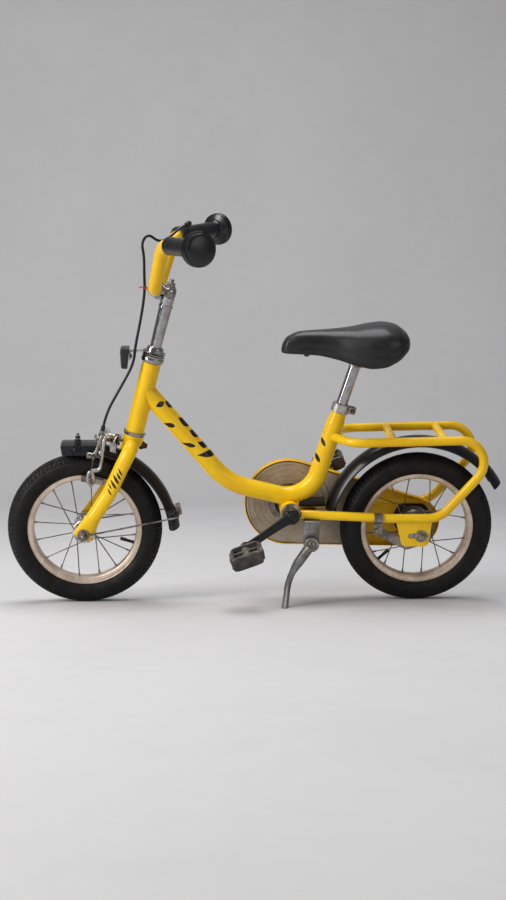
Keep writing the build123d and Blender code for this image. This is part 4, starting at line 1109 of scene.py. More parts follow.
@dataclass(frozen=True)
class Palette:
    """Every finish of the bicycle, built once."""

    paint: Material
    striped: Material
    fork: Material
    chrome: Material
    zinc: Material
    alloy: Material
    rim: Material
    spoke: Material
    cast: Material
    rust: Material
    brass: Material
    guard: Material
    enamel: Material
    resin: Material
    pedal: Material
    rubber: Material
    grip: Material
    tyre: Material
    cable: Material
    tie: Material
    case_grey: Material
    case_yellow: Material
    cover: Material
    amber: Material
    clear: Material

    @classmethod
    def mix(cls, foot: Vector) -> Palette:
        """Builds the finishes.

        Args:
            foot: The rear wheel's contact, where the upright axes start.

        Returns:
            The palette.
        """
        yellow = ((238, 194, 4), (230, 180, 2))
        even = (1.0, 1.0, 1.0)
        start = tuple(foot)
        black = linear((60, 58, 56))
        finishes = {
            "paint": Enamel("yellow paint", *yellow),
            "striped": Enamel("striped yellow paint", *yellow, strokes=TUBE_STROKES, foot=start),
            "fork": Enamel("fork paint", *yellow, strokes=LEG_STROKES, foot=start),
            "chrome": Metal("chrome plate", (172, 174, 178), (146, 142, 138), 0.05, 0.14),
            "zinc": Metal("zinc plated steel", (160, 156, 151), (98, 88, 78), 0.25, 0.45),
            "alloy": Metal("brake alloy", (206, 206, 206), (150, 144, 138), 0.3, 0.5),
            "rim": Metal("dull rim alloy", (232, 216, 200), (200, 180, 162), 0.4, 0.6, even, 0.25),
            "spoke": Metal("spoke wire", (132, 124, 118), (78, 66, 58), 0.3, 0.5),
            "cast": Metal(
                "cast stand alloy", (164, 164, 166), (118, 112, 106), 0.4, 0.6, even, 0.2
            ),
            "rust": Metal("rusty spring steel", (110, 82, 62), (52, 40, 34), 0.4, 0.6, even),
            "brass": Metal("brass", (190, 160, 96), (132, 104, 56), 0.25, 0.45),
            "guard": Enamel(
                "black mudguard", (10, 11, 16), (6, 7, 10), 0.28, 0.38, 0.01, 0.00006, 0.2, black
            ),
            "enamel": Enamel(
                "black crank enamel", (16, 16, 18), (10, 10, 12),
                0.24, 0.38, 0.05, 0.0001, 0.3, linear((84, 78, 72)),
            ),
            "resin": Plastic(
                "pedal resin", (38, 38, 40), (22, 22, 24), 0.34, 0.55, 700.0, 0.0002, 0.25, 0.35
            ),
            "pedal": Plastic(
                "pedal plastic", (66, 64, 61), (40, 38, 36), 0.4, 0.6, 700.0, 0.0002, 0.45, 0.35
            ),
            "rubber": Plastic(
                "brake rubber", (38, 36, 35), (26, 25, 25), 0.6, 0.8, 800.0, 0.0002, 0.2
            ),
            "grip": Plastic(
                "grip rubber", (16, 17, 20), (9, 10, 12),
                0.2, 0.3, 1100.0, 0.00004, 0.02, 0.1, sheen=0.5,
            ),
            "tyre": Plastic(
                "tyre rubber", (17, 16, 16), (10, 10, 10),
                0.46, 0.66, 1000.0, 0.00014, 0.06, 0.12, linear((44, 42, 40)), 0.22,
            ),
            "cable": Plastic(
                "cable cover", (20, 20, 22), (14, 14, 15), 0.24, 0.36, 900.0, 0.00005, 0.06, 0.1
            ),
            "tie": Plastic("red tie", (184, 58, 44), (140, 40, 32), 0.4, 0.55),
            "case_grey": Plastic(
                "dusty grey case plastic", (168, 155, 136), (142, 128, 110),
                0.42, 0.6, 500.0, 0.0002, 0.2, 0.4, linear((180, 170, 158)),
            ),
            "case_yellow": Plastic(
                "yellow case plastic", (238, 190, 8), (216, 162, 4),
                0.34, 0.5, 500.0, 0.00015, 0.06, 0.25, linear((150, 116, 50)),
            ),
            "cover": Leatherette("saddle cover", (17, 16, 18), (9, 9, 10)),
            "amber": Lens("amber lens", (226, 110, 20), (176, 66, 10)),
            "clear": Lens("clear lens", (196, 200, 204), (138, 142, 148)),
        }
        return cls(**{name: finish.build() for name, finish in finishes.items()})


# ------------------------------------------------------------------- pieces
@dataclass(frozen=True)
class Assembly:
    """A sub-assembly: its sizes are its fields, and it makes its own pieces."""

    shop: Workshop
    look: Palette

    def build(self) -> None:
        """Builds every piece of the sub-assembly."""
        raise NotImplementedError


@dataclass(frozen=True)
class Wheel(Assembly):
    """A spoked wheel with its treaded tyre, rim, hub and valve."""

    name: str
    centre_x: float
    body: Body
    hub_finish: Material
    spoke_phase: float
    valve_angle: float
    hub_radius: float
    flange_radius: float
    flange_y: float
    hub_left: float
    hub_right: float
    spokes: int = 16
    lace: float = 40.0
    rim_radius: float = 111.8
    rim_depth: float = 13.0
    rim_half: float = 16.0
    tyre_half: float = 25.0
    tyre_high: float = 45.6
    pitches: int = 94
    cuts: int = 6
    groove: float = 1.7
    rib_edge: float = 13.2
    shoulder: float = 22.0
    side_wall: float = 25.0

    @property
    def centre(self) -> Vector:
        """The middle of the axle."""
        return Vector((self.centre_x, 0.0, AXLE_Z))

    def build(self) -> None:
        """Builds every piece of the wheel."""
        self.tyre()
        self.rim()
        self.hub()
        self.valve()
        self.laced()

    def tread(self, across: float, turn: float) -> float:
        """How deep the tread is cut at a place.

        Args:
            across: Distance from the tyre's middle, along its skin.
            turn: Angle round the wheel, in pitches of the tread.

        Returns:
            The depth below the skin, in millimetres.
        """
        side = 1.0 if across >= 0 else -1.0
        reach = abs(across)
        if reach > self.side_wall:
            return 0.9 if reach < 27.5 else 0.55 if 30.5 < reach < 31.6 else 0.35
        outer = reach > self.rib_edge
        zigzag = 4.6 + 1.3 * math.sin(math.pi * turn + (0 if side > 0 else math.pi))
        phase = (turn + (reach - 8.0) * 0.035 * side + (0.5 if outer else 0.0)) % 1.0
        crossed = reach > zigzag and phase < (0.2 if outer else 0.15)
        if abs(reach - zigzag) < 0.8 or abs(reach - self.rib_edge) < 0.75 or crossed:
            return self.groove
        return 1.2 if reach > self.shoulder and phase < 0.3 else 0.0

    def tyre(self) -> None:
        """Builds the tyre, with its tread cut into the skin."""
        wide, high, count, half_turn = self.tyre_half, self.tyre_high / 2, 92, math.radians(146)
        turns = [-half_turn + 2 * half_turn * step / count for step in range(count + 1)]
        skin = [(wide * math.sin(turn), high * math.cos(turn)) for turn in turns]
        runs = [0.0]
        for (y, out), (next_y, next_out) in zip(skin, skin[1:]):
            runs.append(runs[-1] + math.hypot(next_y - y, next_out - out))
        rings = []
        for index in range(self.pitches * self.cuts):
            outward = radial(2 * math.pi * index / (self.pitches * self.cuts))
            section = []
            for turn, (y, out), run in zip(turns, skin, runs):
                cut = self.tread(run - runs[-1] / 2, index / self.cuts)
                section.append((y - cut * math.sin(turn), out - cut * math.cos(turn)))
            section += [(wide * 0.36, 5.5 - high), (-wide * 0.36, 5.5 - high)]
            middle = self.centre + outward * (TYRE_RADIUS - high)
            rings.append([middle + outward * out + ACROSS * y for y, out in section])
        shape = Shape(self.name + "_tyre_tread").skin(rings, loop=True)
        self.shop.add(shape, self.body, [self.look.tyre], [self.name + "_tyre"], "tyre", 28)

    def rim(self) -> None:
        """Builds the rim, with its hooked edges and its inner step, and the nipples."""
        shape = Shape(self.name + "_rim_band")
        outer, half = self.rim_radius, self.rim_half
        inner = outer - self.rim_depth
        edge = ((0.4, 0.2), (-0.2, -0.4), (-0.2, -2.2), (0.9, -3.0), (0.9, -8.2), (1.6, -9.2))
        left = moved((*edge, (4.6, -9.6)), -half, outer)
        left += moved(((5.8, 1.4), (8.0, 0.2)), -half, inner)
        bed = [(half - 2.2, outer - 0.6), (half - 2.6, inner + 3.0)]
        profile = left + [(0.0, inner - 0.5)] + mirrored(left) + bed + mirrored(bed)
        shape.hoop(profile, self.centre, ACROSS, 192).dress(1)
        nipple = ((0, 1.3), (0.6, 1.9), (6.5, 1.9), (7.0, 2.5), (8.6, 2.7))
        for index in range(self.spokes):
            hub, end, _ = self.spoke(index)
            way = (end - hub).normalized()
            shape.lathe(nipple, end - way * 9.0, way, 12)
        finishes = [self.look.rim, self.look.zinc]
        self.shop.add(shape, self.body, finishes, [self.name + "_rim"], "alloy")

    def spoke(self, index: int) -> tuple[Vector, Vector, Vector]:
        """Where a spoke runs.

        Args:
            index: Its number round the rim.

        Returns:
            Its bend at the hub flange, its end at the rim, and its way through the flange.
        """
        side = -1 if index % 2 else 1
        lace = -1 if (index // 2) % 2 else 1
        turn = math.radians(self.spoke_phase + 360 / self.spokes * index)
        at_hub = radial(turn + math.radians(self.lace) * lace) * (self.flange_radius - 3.0)
        at_rim = radial(turn) * (self.rim_radius - self.rim_depth + 1.25)
        hub = self.centre + at_hub + ACROSS * side * (self.flange_y + lace * 2.05)
        return hub, self.centre + at_rim + ACROSS * side * 4.0, ACROSS * (-side * lace * 4.0)

    def laced(self) -> None:
        """Builds the spokes, each with its bent head in the flange."""
        shape = Shape(self.name + "_wire_spokes")
        for index in range(self.spokes):
            hub, end, through = self.spoke(index)
            way = (end - hub).normalized()
            bend = [hub + through, hub + through * 0.35, hub + way * 0.7, hub + way * 2.4]
            shape.tube([*bend, end - way], 1.05, 10)
            shape.lathe(((-0.6, 1.2), (0.0, 2.0), (0.7, 1.6)), bend[0], through, 12)
        replaced = [self.name + "_spokes"]
        self.shop.add(shape, self.body, [self.look.spoke], replaced, "zinc_steel", 50)

    def hub(self) -> None:
        """Builds the hub, with its flanges, dust caps and cones."""
        shape = Shape(self.name + "_hub_shell")
        waist, edge = self.hub_radius, self.flange_radius
        flange = [(-6.0, 11.0), (-5.6, waist * 0.86), (-3.0, waist), (-1.6, waist + 1.0)]
        flange += [(-1.5, edge - 1.0), (-0.6, edge), (0.6, edge), (1.5, edge - 1.0)]
        flange += [(1.6, waist + 3.0), (5.0, waist + 0.4), (12.0, waist - 0.6)]
        flange = moved(flange, -self.flange_y)
        cap = ((0.0, 6.5), (0.0, 9.6), (2.5, 10.8))
        left, right = moved(cap, -self.hub_left), mirrored(moved(cap, -self.hub_right))
        profile = left + flange + mirrored(flange) + right
        shape.lathe(profile, self.centre, ACROSS, 72)
        self.shop.add(shape, self.body, [self.hub_finish], [self.name + "_hub"], "alloy")

    def valve(self) -> None:
        """Builds the valve stem, its rubber sleeve and its ridged cap."""
        shape = Shape(self.name + "_valve_stem")
        way = -radial(math.radians(self.valve_angle))
        foot = self.centre - way * (self.rim_radius - self.rim_depth + 1.0)
        shape.lathe(((0, 4.2), (1.5, 4.0), (3.0, 3.1), (17.0, 2.9)), foot, way)
        shape.dress(1).lathe(((13.0, 2.4), (16.5, 2.4), (17.0, 2.2)), foot, way)
        cap = [(16.5, 3.2), (17.0, 3.7)]
        for ridge in range(4):
            groove = ((18.2, 3.7), (18.6, 3.45), (19.4, 3.45), (19.8, 3.7))
            cap += moved(groove, ridge * 2.2)
        shape.dress(2).lathe(cap + [(27.6, 3.6), (28.4, 3.0)], foot, way)
        finishes = [self.look.rubber, self.look.brass, self.look.resin]
        self.shop.add(shape, self.body, finishes, [self.name + "_valve"], "alloy")


@dataclass(frozen=True)
class AxleNuts(Assembly):
    """The domed nuts, washers and locknuts of one axle."""

    name: str
    replaced: str
    centre_x: float
    seat_y: float
    washer: float
    body: Body
    inner: tuple[Pair, ...]
    stub: float
    hexagon: float
    thick: float = 9.0

    def build(self) -> None:
        """Builds the nuts on both sides."""
        shape = Shape(self.name)
        wide, thick, stub, washer = self.hexagon, self.thick, self.stub, self.washer
        flats = ((1.6, 0.0), (thick - 2.6, 0.2), (thick - 1.0, -0.6), (thick, -1.8))
        dome = ((-1.2, wide - 1.6), (stub * 0.4, wide - 2.2), (stub * 0.8, wide - 3.8))
        for side in SIDES:
            way = ACROSS * side
            seat = Vector((self.centre_x, side * self.seat_y, AXLE_Z))
            if washer:
                ring = ((0.0, 11.6), (0.5, 12.0), (washer - 0.4, 12.0), (washer, 11.4))
                shape.lathe(ring, seat, way, 40)
            rest = seat + way * washer
            shape.lathe(((0.0, wide + 1.0), (1.2, wide + 1.2), (1.8, wide)), rest, way, 40)
            shape.lathe(moved(flats, 0.0, wide), rest, way, 6)
            cap = moved((*dome, (stub, 2.4), (stub + 0.2, 0.2)), thick)
            shape.lathe(cap, rest, way, 32)
        for start, end in self.inner:
            run = abs(end - start)
            locknut = ((0.0, 8.6), (0.4, 9.0), (run - 0.4, 9.0), (run, 8.6))
            shape.lathe(locknut, (self.centre_x, start, AXLE_Z), ACROSS * (end - start), 6)
        self.shop.add(shape, self.body, [self.look.zinc], [self.replaced], "chrome")


@dataclass(frozen=True)
class Cable(Assembly):
    """The front brake's cable, from the lever's ferrule to the caliper's stop.

    Its route is measured from the head tube's foot.
    """

    radius: float = 2.6
    length_m: float = 0.5
    route: tuple[Triple, ...] = (
        (99.5, 100.0, 384.0),
        (84.5, 80.0, 378.0),
        (66.5, 57.0, 363.0),
        (47.5, 33.0, 358.0),
        (28.0, 16.5, 376.0),
        (15.5, 6.0, 360.0),
        (20.5, 2.0, 336.0),
        (20.5, -2.0, 306.0),
        (21.5, -5.0, 268.0),
        (13.5, -8.0, 218.0),
        (3.0, -13.0, 169.0),
        (-0.5, -16.0, 134.0),
        (-27.5, -20.0, 86.0),
        (-53.5, -26.0, 41.0),
        (-60.5, -28.0, 8.0),
    )

    def spot(self, index: int) -> Vector:
        """One of the points that pull the curve."""
        return HEAD_FOOT + Vector(self.route[index])

    def build(self) -> None:
        """Lays the cable as one smooth curve through the route's run."""
        curve = bpy.data.curves.new("front_brake_cable", "CURVE")
        curve.dimensions = "3D"
        spline = curve.splines.new("NURBS")
        spline.points.add(len(self.route) - 1)
        spots = [self.shop.stance @ self.spot(index) for index in range(len(self.route))]
        for control, spot in zip(spline.points, spots):
            control.co = (*spot, 1.0)
        spline.order_u = 3
        spline.use_endpoint_u = True
        spline.resolution_u = 10
        curve.bevel_depth = self.radius * MM
        curve.bevel_resolution = 5
        curve.use_fill_caps = True
        curve.materials.append(self.look.cable)
        piece = bpy.data.objects.new("front_brake_cable", curve)
        self.shop.fit(piece, Body.STEERING, ["brake_cable"], "cable_cover")
        tuple(spots[0])


@dataclass(frozen=True)
class Headset(Assembly):
    """The head tube's bearing cups and the locknut over them."""

    tube_length: float = 138.0
    upper: float = 15.0
    nut: float = 16.0

    def build(self) -> None:
        """Builds the stacked rings and the nut."""
        cups = Shape("headset_rings")
        up = column_up()
        low = ((-7.0, 13.0), (-7.0, 19.4), (-6.2, 20.6), (-4.6, 20.6), (-4.2, 19.0), (-3.4, 19.0))
        low += ((-3.0, 21.4), (-2.2, 21.9), (-0.8, 21.9), (-0.2, 20.6), (0.4, 18.3), (0.4, 13.0))
        cups.hoop(low, HEAD_FOOT, up, 72)
        high = ((-0.4, 13.0), (-0.4, 17.8), (0.8, 19.8), (2.8, 21.4), (5.4, 22.0), (9.0, 22.0))
        high += ((10.4, 21.4), (10.8, 20.2), (11.4, 20.2), (11.8, 21.4), (12.6, 21.8))
        high += ((14.0, 21.8), (self.upper, 21.0), (self.upper, 13.0))
        cups.hoop(high, on_column(self.tube_length), up, 72)
        self.shop.add(cups, Body.FRAME, [self.look.chrome], ["headset_cups"], "chrome")
        lock = Shape("headset_nut")
        foot, top = on_column(self.tube_length + self.upper + 0.4), self.nut
        ring = ((0.0, 12.8), (0.0, 20.2), (0.8, 21.0), (2.4, 21.0), (3.0, 20.0), (3.0, 12.8))
        lock.hoop(ring, foot, up)
        nut = ((3.4, 14.4), (3.4, 15.8), (4.2, 16.6), (top - 3.4, 16.2), (top - 1.2, 15.2))
        lock.lathe((*nut, (top, 13.6), (top, 11.4)), foot, up, 48)
        self.shop.add(lock, Body.STEERING, [self.look.chrome], ["headset_locknut"], "chrome")


@dataclass(frozen=True)
class Stem(Assembly):
    """The quill and its two-bolt clamp round the handlebar."""

    quill: float = 11.1
    foot: float = 80.0
    height: float = 278.0
    forward: float = 25.0
    clamp: float = 15.0
    half: float = 17.5

    @property
    def middle(self) -> Vector:
        """The middle of the handlebar's clamped run."""
        return turned(on_column(self.height, self.forward))

    def build(self) -> None:
        """Builds the quill, its head and the bolts in it, and the clamp."""
        shape = Shape("quill_stem")
        up = column_up()
        profile = ((self.foot, 9.0), (self.foot, self.quill), (168.0, self.quill), (200.0, 11.6))
        profile += ((246.0, 12.4), (247.0, 13.6), (251.0, 13.6), (252.0, 12.4), (257.0, 12.2))
        profile += ((258.0, 12.8), (266.0, 13.2), (267.0, 12.2), (268.0, 12.2), (269.0, 13.4))
        shape.lathe((*profile, (282.0, 13.4), (284.0, 12.2), (286.0, 9.0)), HEAD_FOOT, up, 56)
        cap = ((285.6, 10.6), (286.2, 11.0), (287.4, 11.0), (288.0, 10.4))
        shape.dress(1).lathe(cap, HEAD_FOOT, up, 32)
        shape.bolt(on_column(288.0), up, 8.2, 7.2)
        shape.lathe(((295.0, 4.2), (301.2, 4.2), (302.0, 3.4)), HEAD_FOOT, up, 20)
        cross = on_column(274.0, -3.0)
        for side in SIDES:
            way = ACROSS * side
            shape.lathe(((8.0, 6.8), (15.4, 6.8), (16.2, 6.0)), cross, way, 28)
            shape.bolt(cross + way * 16.0, way, 5.2, 3.0)
        start = on_column(self.height - 3)
        neck = [start, start.lerp(self.middle, 0.5), self.middle]
        shape.dress(0).tube(neck, (11.4, 10.6, 11.6), 28)
        self.collar(shape)
        finishes = [self.look.chrome, self.look.zinc]
        self.shop.add(shape, Body.STEERING, finishes, ["stem"], "chrome")

    def collar(self, shape: Shape) -> None:
        """Adds the split collar with its two lugs and its bolts.

        Args:
            shape: The stem in the making.
        """
        across = (turned(ACROSS) - turned((0, 0, 0))).normalized()
        side = [(-self.half, 14.2), (1.2 - self.half, self.clamp)]
        ring = [(-self.half, 12.9)] + side + mirrored(side) + [(self.half, 12.9)]
        shape.hoop(ring, self.middle, across, 56)
        ahead = (self.middle - on_column(self.height)).normalized()
        down = ahead.cross(across).normalized()
        if down.z > 0:
            down = -down
        turn = Matrix((ahead, across, ahead.cross(across))).transposed()
        lug = self.middle - ahead * 9 + down * 14.5
        for gap in (2.6, -2.6):
            shape.block(lug + ahead * gap, (4.4, 1.6 * self.half, 8.0), turn, 1.0)
        shape.dress(1)
        for place in SIDES:
            seat = lug + ahead * 4.6 + across * place * 7.0
            shape.bolt(seat, ahead, 3.8, 2.8, 4.6)
            shape.lathe(((-10.6, 2.8), (-9.2, 2.8)), seat, ahead, 16)


@dataclass(frozen=True)
class CableTie(Assembly):
    """The thin plastic tie that holds the cable to the handlebar."""

    bar: Vector

    def build(self) -> None:
        """Builds the loop round the cable, its strap to the bar and its loose end."""
        shape = Shape("cable_tie")
        spot = HEAD_FOOT + Vector((21.2, -3.4, 277.0))
        shape.hoop(((-1.7, 2.7), (-1.7, 4.3), (1.7, 4.3), (1.7, 2.7)), spot, UP, 24)
        loose = ((-3.6, -2.0, 0.6), (-7.0, -4.0, 2.6), (-11.0, -5.0, 0.4))
        shape.tube([spot + Vector(point) for point in loose], 1.0, 10)
        reach = self.bar + Vector((-12.4, -24.0, 3.0))
        strap = [spot + Vector((3.0, -2.6, 0.0)), spot.lerp(reach, 0.5) - UP * 2.0, reach]
        shape.tube(strap, 0.9, 10)
        self.shop.add(shape, Body.STEERING, [self.look.tie])


@dataclass(frozen=True)
class Bar:
    """Where the handlebar's ends and shoulders are, before its twist."""

    shoulder: Triple = (-483.5, 96.0, 709.0)
    end: Triple = (-404.0, 223.0, 714.0)

    def tip(self, side: int) -> Vector:
        """The bar's end on one side."""
        return turned((self.end[0], side * self.end[1], self.end[2]))

    def inward(self, side: int) -> Vector:
        """The way from the end towards the shoulder."""
        shoulder = turned((self.shoulder[0], side * self.shoulder[1], self.shoulder[2]))
        return (shoulder - self.tip(side)).normalized()


@dataclass(frozen=True)
class Grips(Assembly):
    """The two rubber grips, each with a broad safety knob."""

    bar: Bar
    sleeve: float = 16.4
    knob: float = 31.5

    def build(self) -> None:
        """Builds both grips."""
        shape = Shape("handlebar_grips")
        knob, sleeve = self.knob, self.sleeve
        profile = ((0.3, 0.2), (0.6, 8.0), (1.4, 15.5), (2.8, 22.5), (4.6, 26.8), (6.2, 28.0))
        profile += ((7.0, 27.6), (7.5, 26.4), (8.3, 26.6))
        ridge = ((0.0, -1.6), (0.8, -0.2), (2.8, 0.0), (3.6, -1.0), (4.0, -2.8))
        for start, crest in ((8.8, knob - 0.4), (14.2, knob), (19.4, knob - 0.9)):
            profile += tuple(moved(ridge, start, crest))
        profile += ((24.4, knob - 5.2), (25.6, 22.0), (27.4, 18.6), (30.0, 17.1))
        profile += ((33.0, sleeve + 0.2), (60.0, sleeve - 0.2), (96.0, sleeve - 0.2))
        profile += ((124.5, sleeve), (127.5, 16.9), (129.2, 16.2), (130.2, 14.6), (130.2, 12.8))
        for side in SIDES:
            way = self.bar.inward(side)
            shape.lathe(profile, self.bar.tip(side) - way * 6.0, way, 72)
        self.shop.add(shape, Body.STEERING, [self.look.grip], ["grips"], "grip_rubber", 40)


@dataclass(frozen=True)
class Lever(Assembly):
    """The front brake's lever, its perch and its cable adjuster."""

    bar: Bar
    cable: Cable
    seat: Triple = (-475.4, 109.0, 709.5)
    pivot: Triple = (-492.0, 118.0, 700.0)
    knuckle: Triple = (-492.0, 138.0, 692.0)
    tip: Triple = (-462.0, 205.0, 684.0)
    ball: float = 5.6

    def build(self) -> None:
        """Builds the perch, the blade with its ball end, and the adjuster."""
        shape = Shape("brake_lever_right")
        seat, pivot = turned(self.seat), turned(self.pivot)
        along = -self.bar.inward(1)
        edge = [(-7.0, 12.9), (-7.0, 16.4), (-6.0, 17.4)]
        shape.hoop(edge + mirrored(edge), seat, along)
        reach = (pivot - seat).normalized()
        perch = [seat + reach * 11, seat + reach * 17, pivot, pivot + reach * 4]
        shape.tube(perch, (8.5, 7.6, 7.0, 4.0), 20, 0.75, along)
        up = reach.cross(along).normalized()
        shape.dress(1).lathe(((-7.4, 4.2), (-6.6, 4.8), (6.6, 4.8), (7.4, 4.2)), pivot, up)
        line = rounded((pivot, turned(self.knuckle), turned(self.tip)), (20.0,), 12)
        radii = [self.ball - 1.7 * min(index / 6, 1.0) for index in range(len(line))]
        radii[-1] += 0.9
        shape.dress(0).tube(line, radii, 20, 0.62, up)
        arc = [math.radians(turn) for turn in range(-90, 91, 15)]
        globe = [(self.ball * math.sin(a), max(self.ball * math.cos(a), 0.2)) for a in arc]
        shape.lathe(globe, line[-1], line[-1] - line[-2])
        first = self.cable.spot(0)
        back = (first - self.cable.spot(1)).normalized()
        mouth = first + back * 12.0
        shape.tube([seat.lerp(mouth, 0.25), mouth], (6.4, 5.0))
        sleeve = ((-1.0, 2.9), (-1.0, 4.2), (4.6, 4.3), (5.0, 5.2), (8.4, 5.2), (8.8, 4.4))
        shape.lathe((*sleeve, (12.0, 4.4)), first, back)
        finishes = [self.look.resin, self.look.zinc]
        self.shop.add(shape, Body.STEERING, finishes, ["brake_lever"], "black_plastic", 45)


@dataclass(frozen=True)
class Caliper(Assembly):
    """The front side-pull caliper, its bolt, pads and cable end."""

    cable: Cable
    height: float = -24.0
    reach: float = 52.0
    tail: float = 27.0
    arm_y: float = 40.0
    shoulder: Pair = (-607.5, 342.0)
    knob: Pair = (-613.5, 311.0)
    elbow: Pair = (-613.5, 285.0)
    foot: Pair = (-634.5, 261.0)
    pad: Pair = (-632.0, 252.0)
    post: Triple = (-592.0, 18.0, 309.0)
    nut: Triple = (-0.6, 2.0, -4.6)
    blocks: int = 4

    def build(self) -> None:
        """Builds all of the brake that sits on the fork crown."""
        self.bolt()
        self.arms()
        self.pads()
        self.stop()

    def ahead(self) -> Vector:
        """The way that the brake bolt points."""
        return (on_column(0, 1) - on_column(0)).normalized()

    def bolt(self) -> None:
        """Builds the bolt with the washers, spring and nuts threaded on it."""
        shape = Shape("caliper_bolt")
        way, root, reach = self.ahead(), on_column(self.height), self.reach
        shape.lathe(((-self.tail, 3.0), (reach + 1.0, 3.0), (reach + 2.0, 2.2)), root, way)
        shape.lathe(((22.4, 11.0), (23.0, 11.6), (25.4, 11.6), (26.0, 11.0)), root, way, 36)
        first, second = basis(way)
        coil = []
        for step in range(121):
            turn, share = 2 * math.pi * step / 24, step / 120
            out = (first * math.cos(turn) + second * math.sin(turn)) * (9.4 - 1.6 * share)
            coil.append(root + way * (27.4 + 7.6 * share) + out)
        shape.dress(1).tube(coil, 1.25, 8)
        shape.dress(0).bolt(root + way * (reach - 3.0), way, 6.4, 4.0, 7.4)
        shape.lathe(moved(((1.4, 5.0), (3.6, 4.4), (5.0, 2.6), (5.4, 0.3)), reach), root, way, 28)
        nut = ((-17.0, 8.6), (-17.6, 9.0), (-20.0, 8.4), (-25.0, 5.8), (-29.4, 4.2), (-30.0, 3.4))
        shape.dress(1).lathe(nut, root, way, 32)
        shape.lathe(((-15.6, 8.0), (-17.2, 8.0)), root, way, 6)
        finishes = [self.look.zinc, self.look.rust]
        self.shop.add(shape, Body.STEERING, finishes, ["front_brake_bolt"], "zinc_steel")

    def arms(self) -> None:
        """Builds the two cast arms, with their slotted feet, and the yoke behind them."""
        shape = Shape("caliper_cast_arms")
        way = self.ahead()
        for side, setback in ((1, 0.0), (-1, 7.4)):
            boss = on_column(self.height, self.reach - 3 - setback)
            shape.dress(0).lathe(((-7.0, 8.2), (-6.4, 8.8), (-0.6, 8.8), (0.0, 8.2)), boss, way, 40)
            self.arm(shape, side, boss - way * 3.5)
        x, y, z = self.post
        shape.dress(0)
        post = [(-6.0, 17.0), (5.6, 17.0), (5.6, -15.0), (4.0, -17.0), (-4.4, -17.0), (-6.0, -15.0)]
        for side in SIDES:
            shape.plate(post, (x, side * y, z), 3.6, 0.8)
            bridge = ((0.0, side * y, 15.0), (4.0, side * 10.0, 22.0), (8.0, 0.0, 24.0))
            shape.tube([(x + along, out, z + up) for along, out, up in bridge], 4.2, 14, 0.6)
        finishes = [self.look.alloy, self.look.zinc]
        self.shop.add(shape, Body.STEERING, finishes, ["caliper_arms"], "zinc_steel", 40)

    def arm(self, shape: Shape, side: int, middle: Vector) -> None:
        """Adds one arm from the bolt down to its pad.

        Args:
            shape: The arms in the making.
            side: -1 for the left arm and 1 for the right one.
            middle: Where it starts on the bolt.
        """
        out, y = ACROSS * side, side * self.arm_y
        spots = (self.shoulder, self.elbow, self.foot, self.knob)
        top, elbow, foot, knob = (Vector((x, y, z)) for x, z in spots)
        bends = (top - UP * 2.0, elbow + UP * 8.0, elbow + Vector((-3.0, 0.0, -7.0)))
        line = (middle, *bends, foot + Vector((1.0, 0.0, 14.5)))
        line = rounded(line, (7.0, 30.0, 9.0), 8)
        last = len(line) - 1
        radii = [5.6 - 0.9 * math.sin(math.pi * index / last) for index in range(last + 1)]
        shape.tube(line, radii, 20, 0.72, out)
        dome = ((-4.0, 5.4), (2.4, 5.4), (3.6, 4.8), (4.4, 3.0), (4.6, 0.3))
        shape.lathe(dome, knob + out, out, 28)
        loop = [foot + Vector((5.0 * s, 0.0, 12.6 * c)) for c, s in oval(30, 1.0, 1.0)]
        shape.tube(loop + loop[:1], 3.8, 12)
        for level in (-12.0, -9.0):
            shape.plate(oval(12, 5.4, 5.0), foot + UP * level, 6.0, 0.8)
        x, gap, z = self.nut
        seat = foot + Vector((x, 0.0, z))
        shape.dress(1).bolt(seat + out * gap, out, 5.2, 3.4, 6.6)
        shape.lathe(((5.4, 4.0), (7.0, 3.4), (7.6, 2.0), (7.8, 0.3)), seat + out, out)

    def pads(self) -> None:
        """Builds the grooved pads in their metal shoes."""
        shape = Shape("brake_blocks")
        tilt = Matrix.Rotation(math.radians(10.0), 3, "Y")
        root = Vector((self.pad[0], 0.0, self.pad[1]))
        for side in SIDES:
            out = ACROSS * side
            shape.dress(0)
            for index in range(self.blocks):
                along = tilt @ ALONG * (-15.9 + index * 10.6)
                shape.block(root + out * 20.3 + along, (9.6, 5.4, 10.0), tilt)
            shape.block(root + out * 21.8, (41.6, 3.0, 9.2), tilt, 0.6)
            shape.dress(1).block(root + out * 24.4, (43.0, 2.8, 11.4), tilt, 0.7)
            shape.block(root + out * 22.2 + tilt @ ALONG * -21.0, (1.4, 5.6, 11.4), tilt, 0.4)
            shape.lathe(((25.4, 5.6), (27.6, 4.6), (46.0, 4.0), (46.8, 3.2)), root, out)
        finishes = [self.look.rubber, self.look.zinc]
        self.shop.add(shape, Body.STEERING, finishes, ["brake_pads"], "pad_rubber")

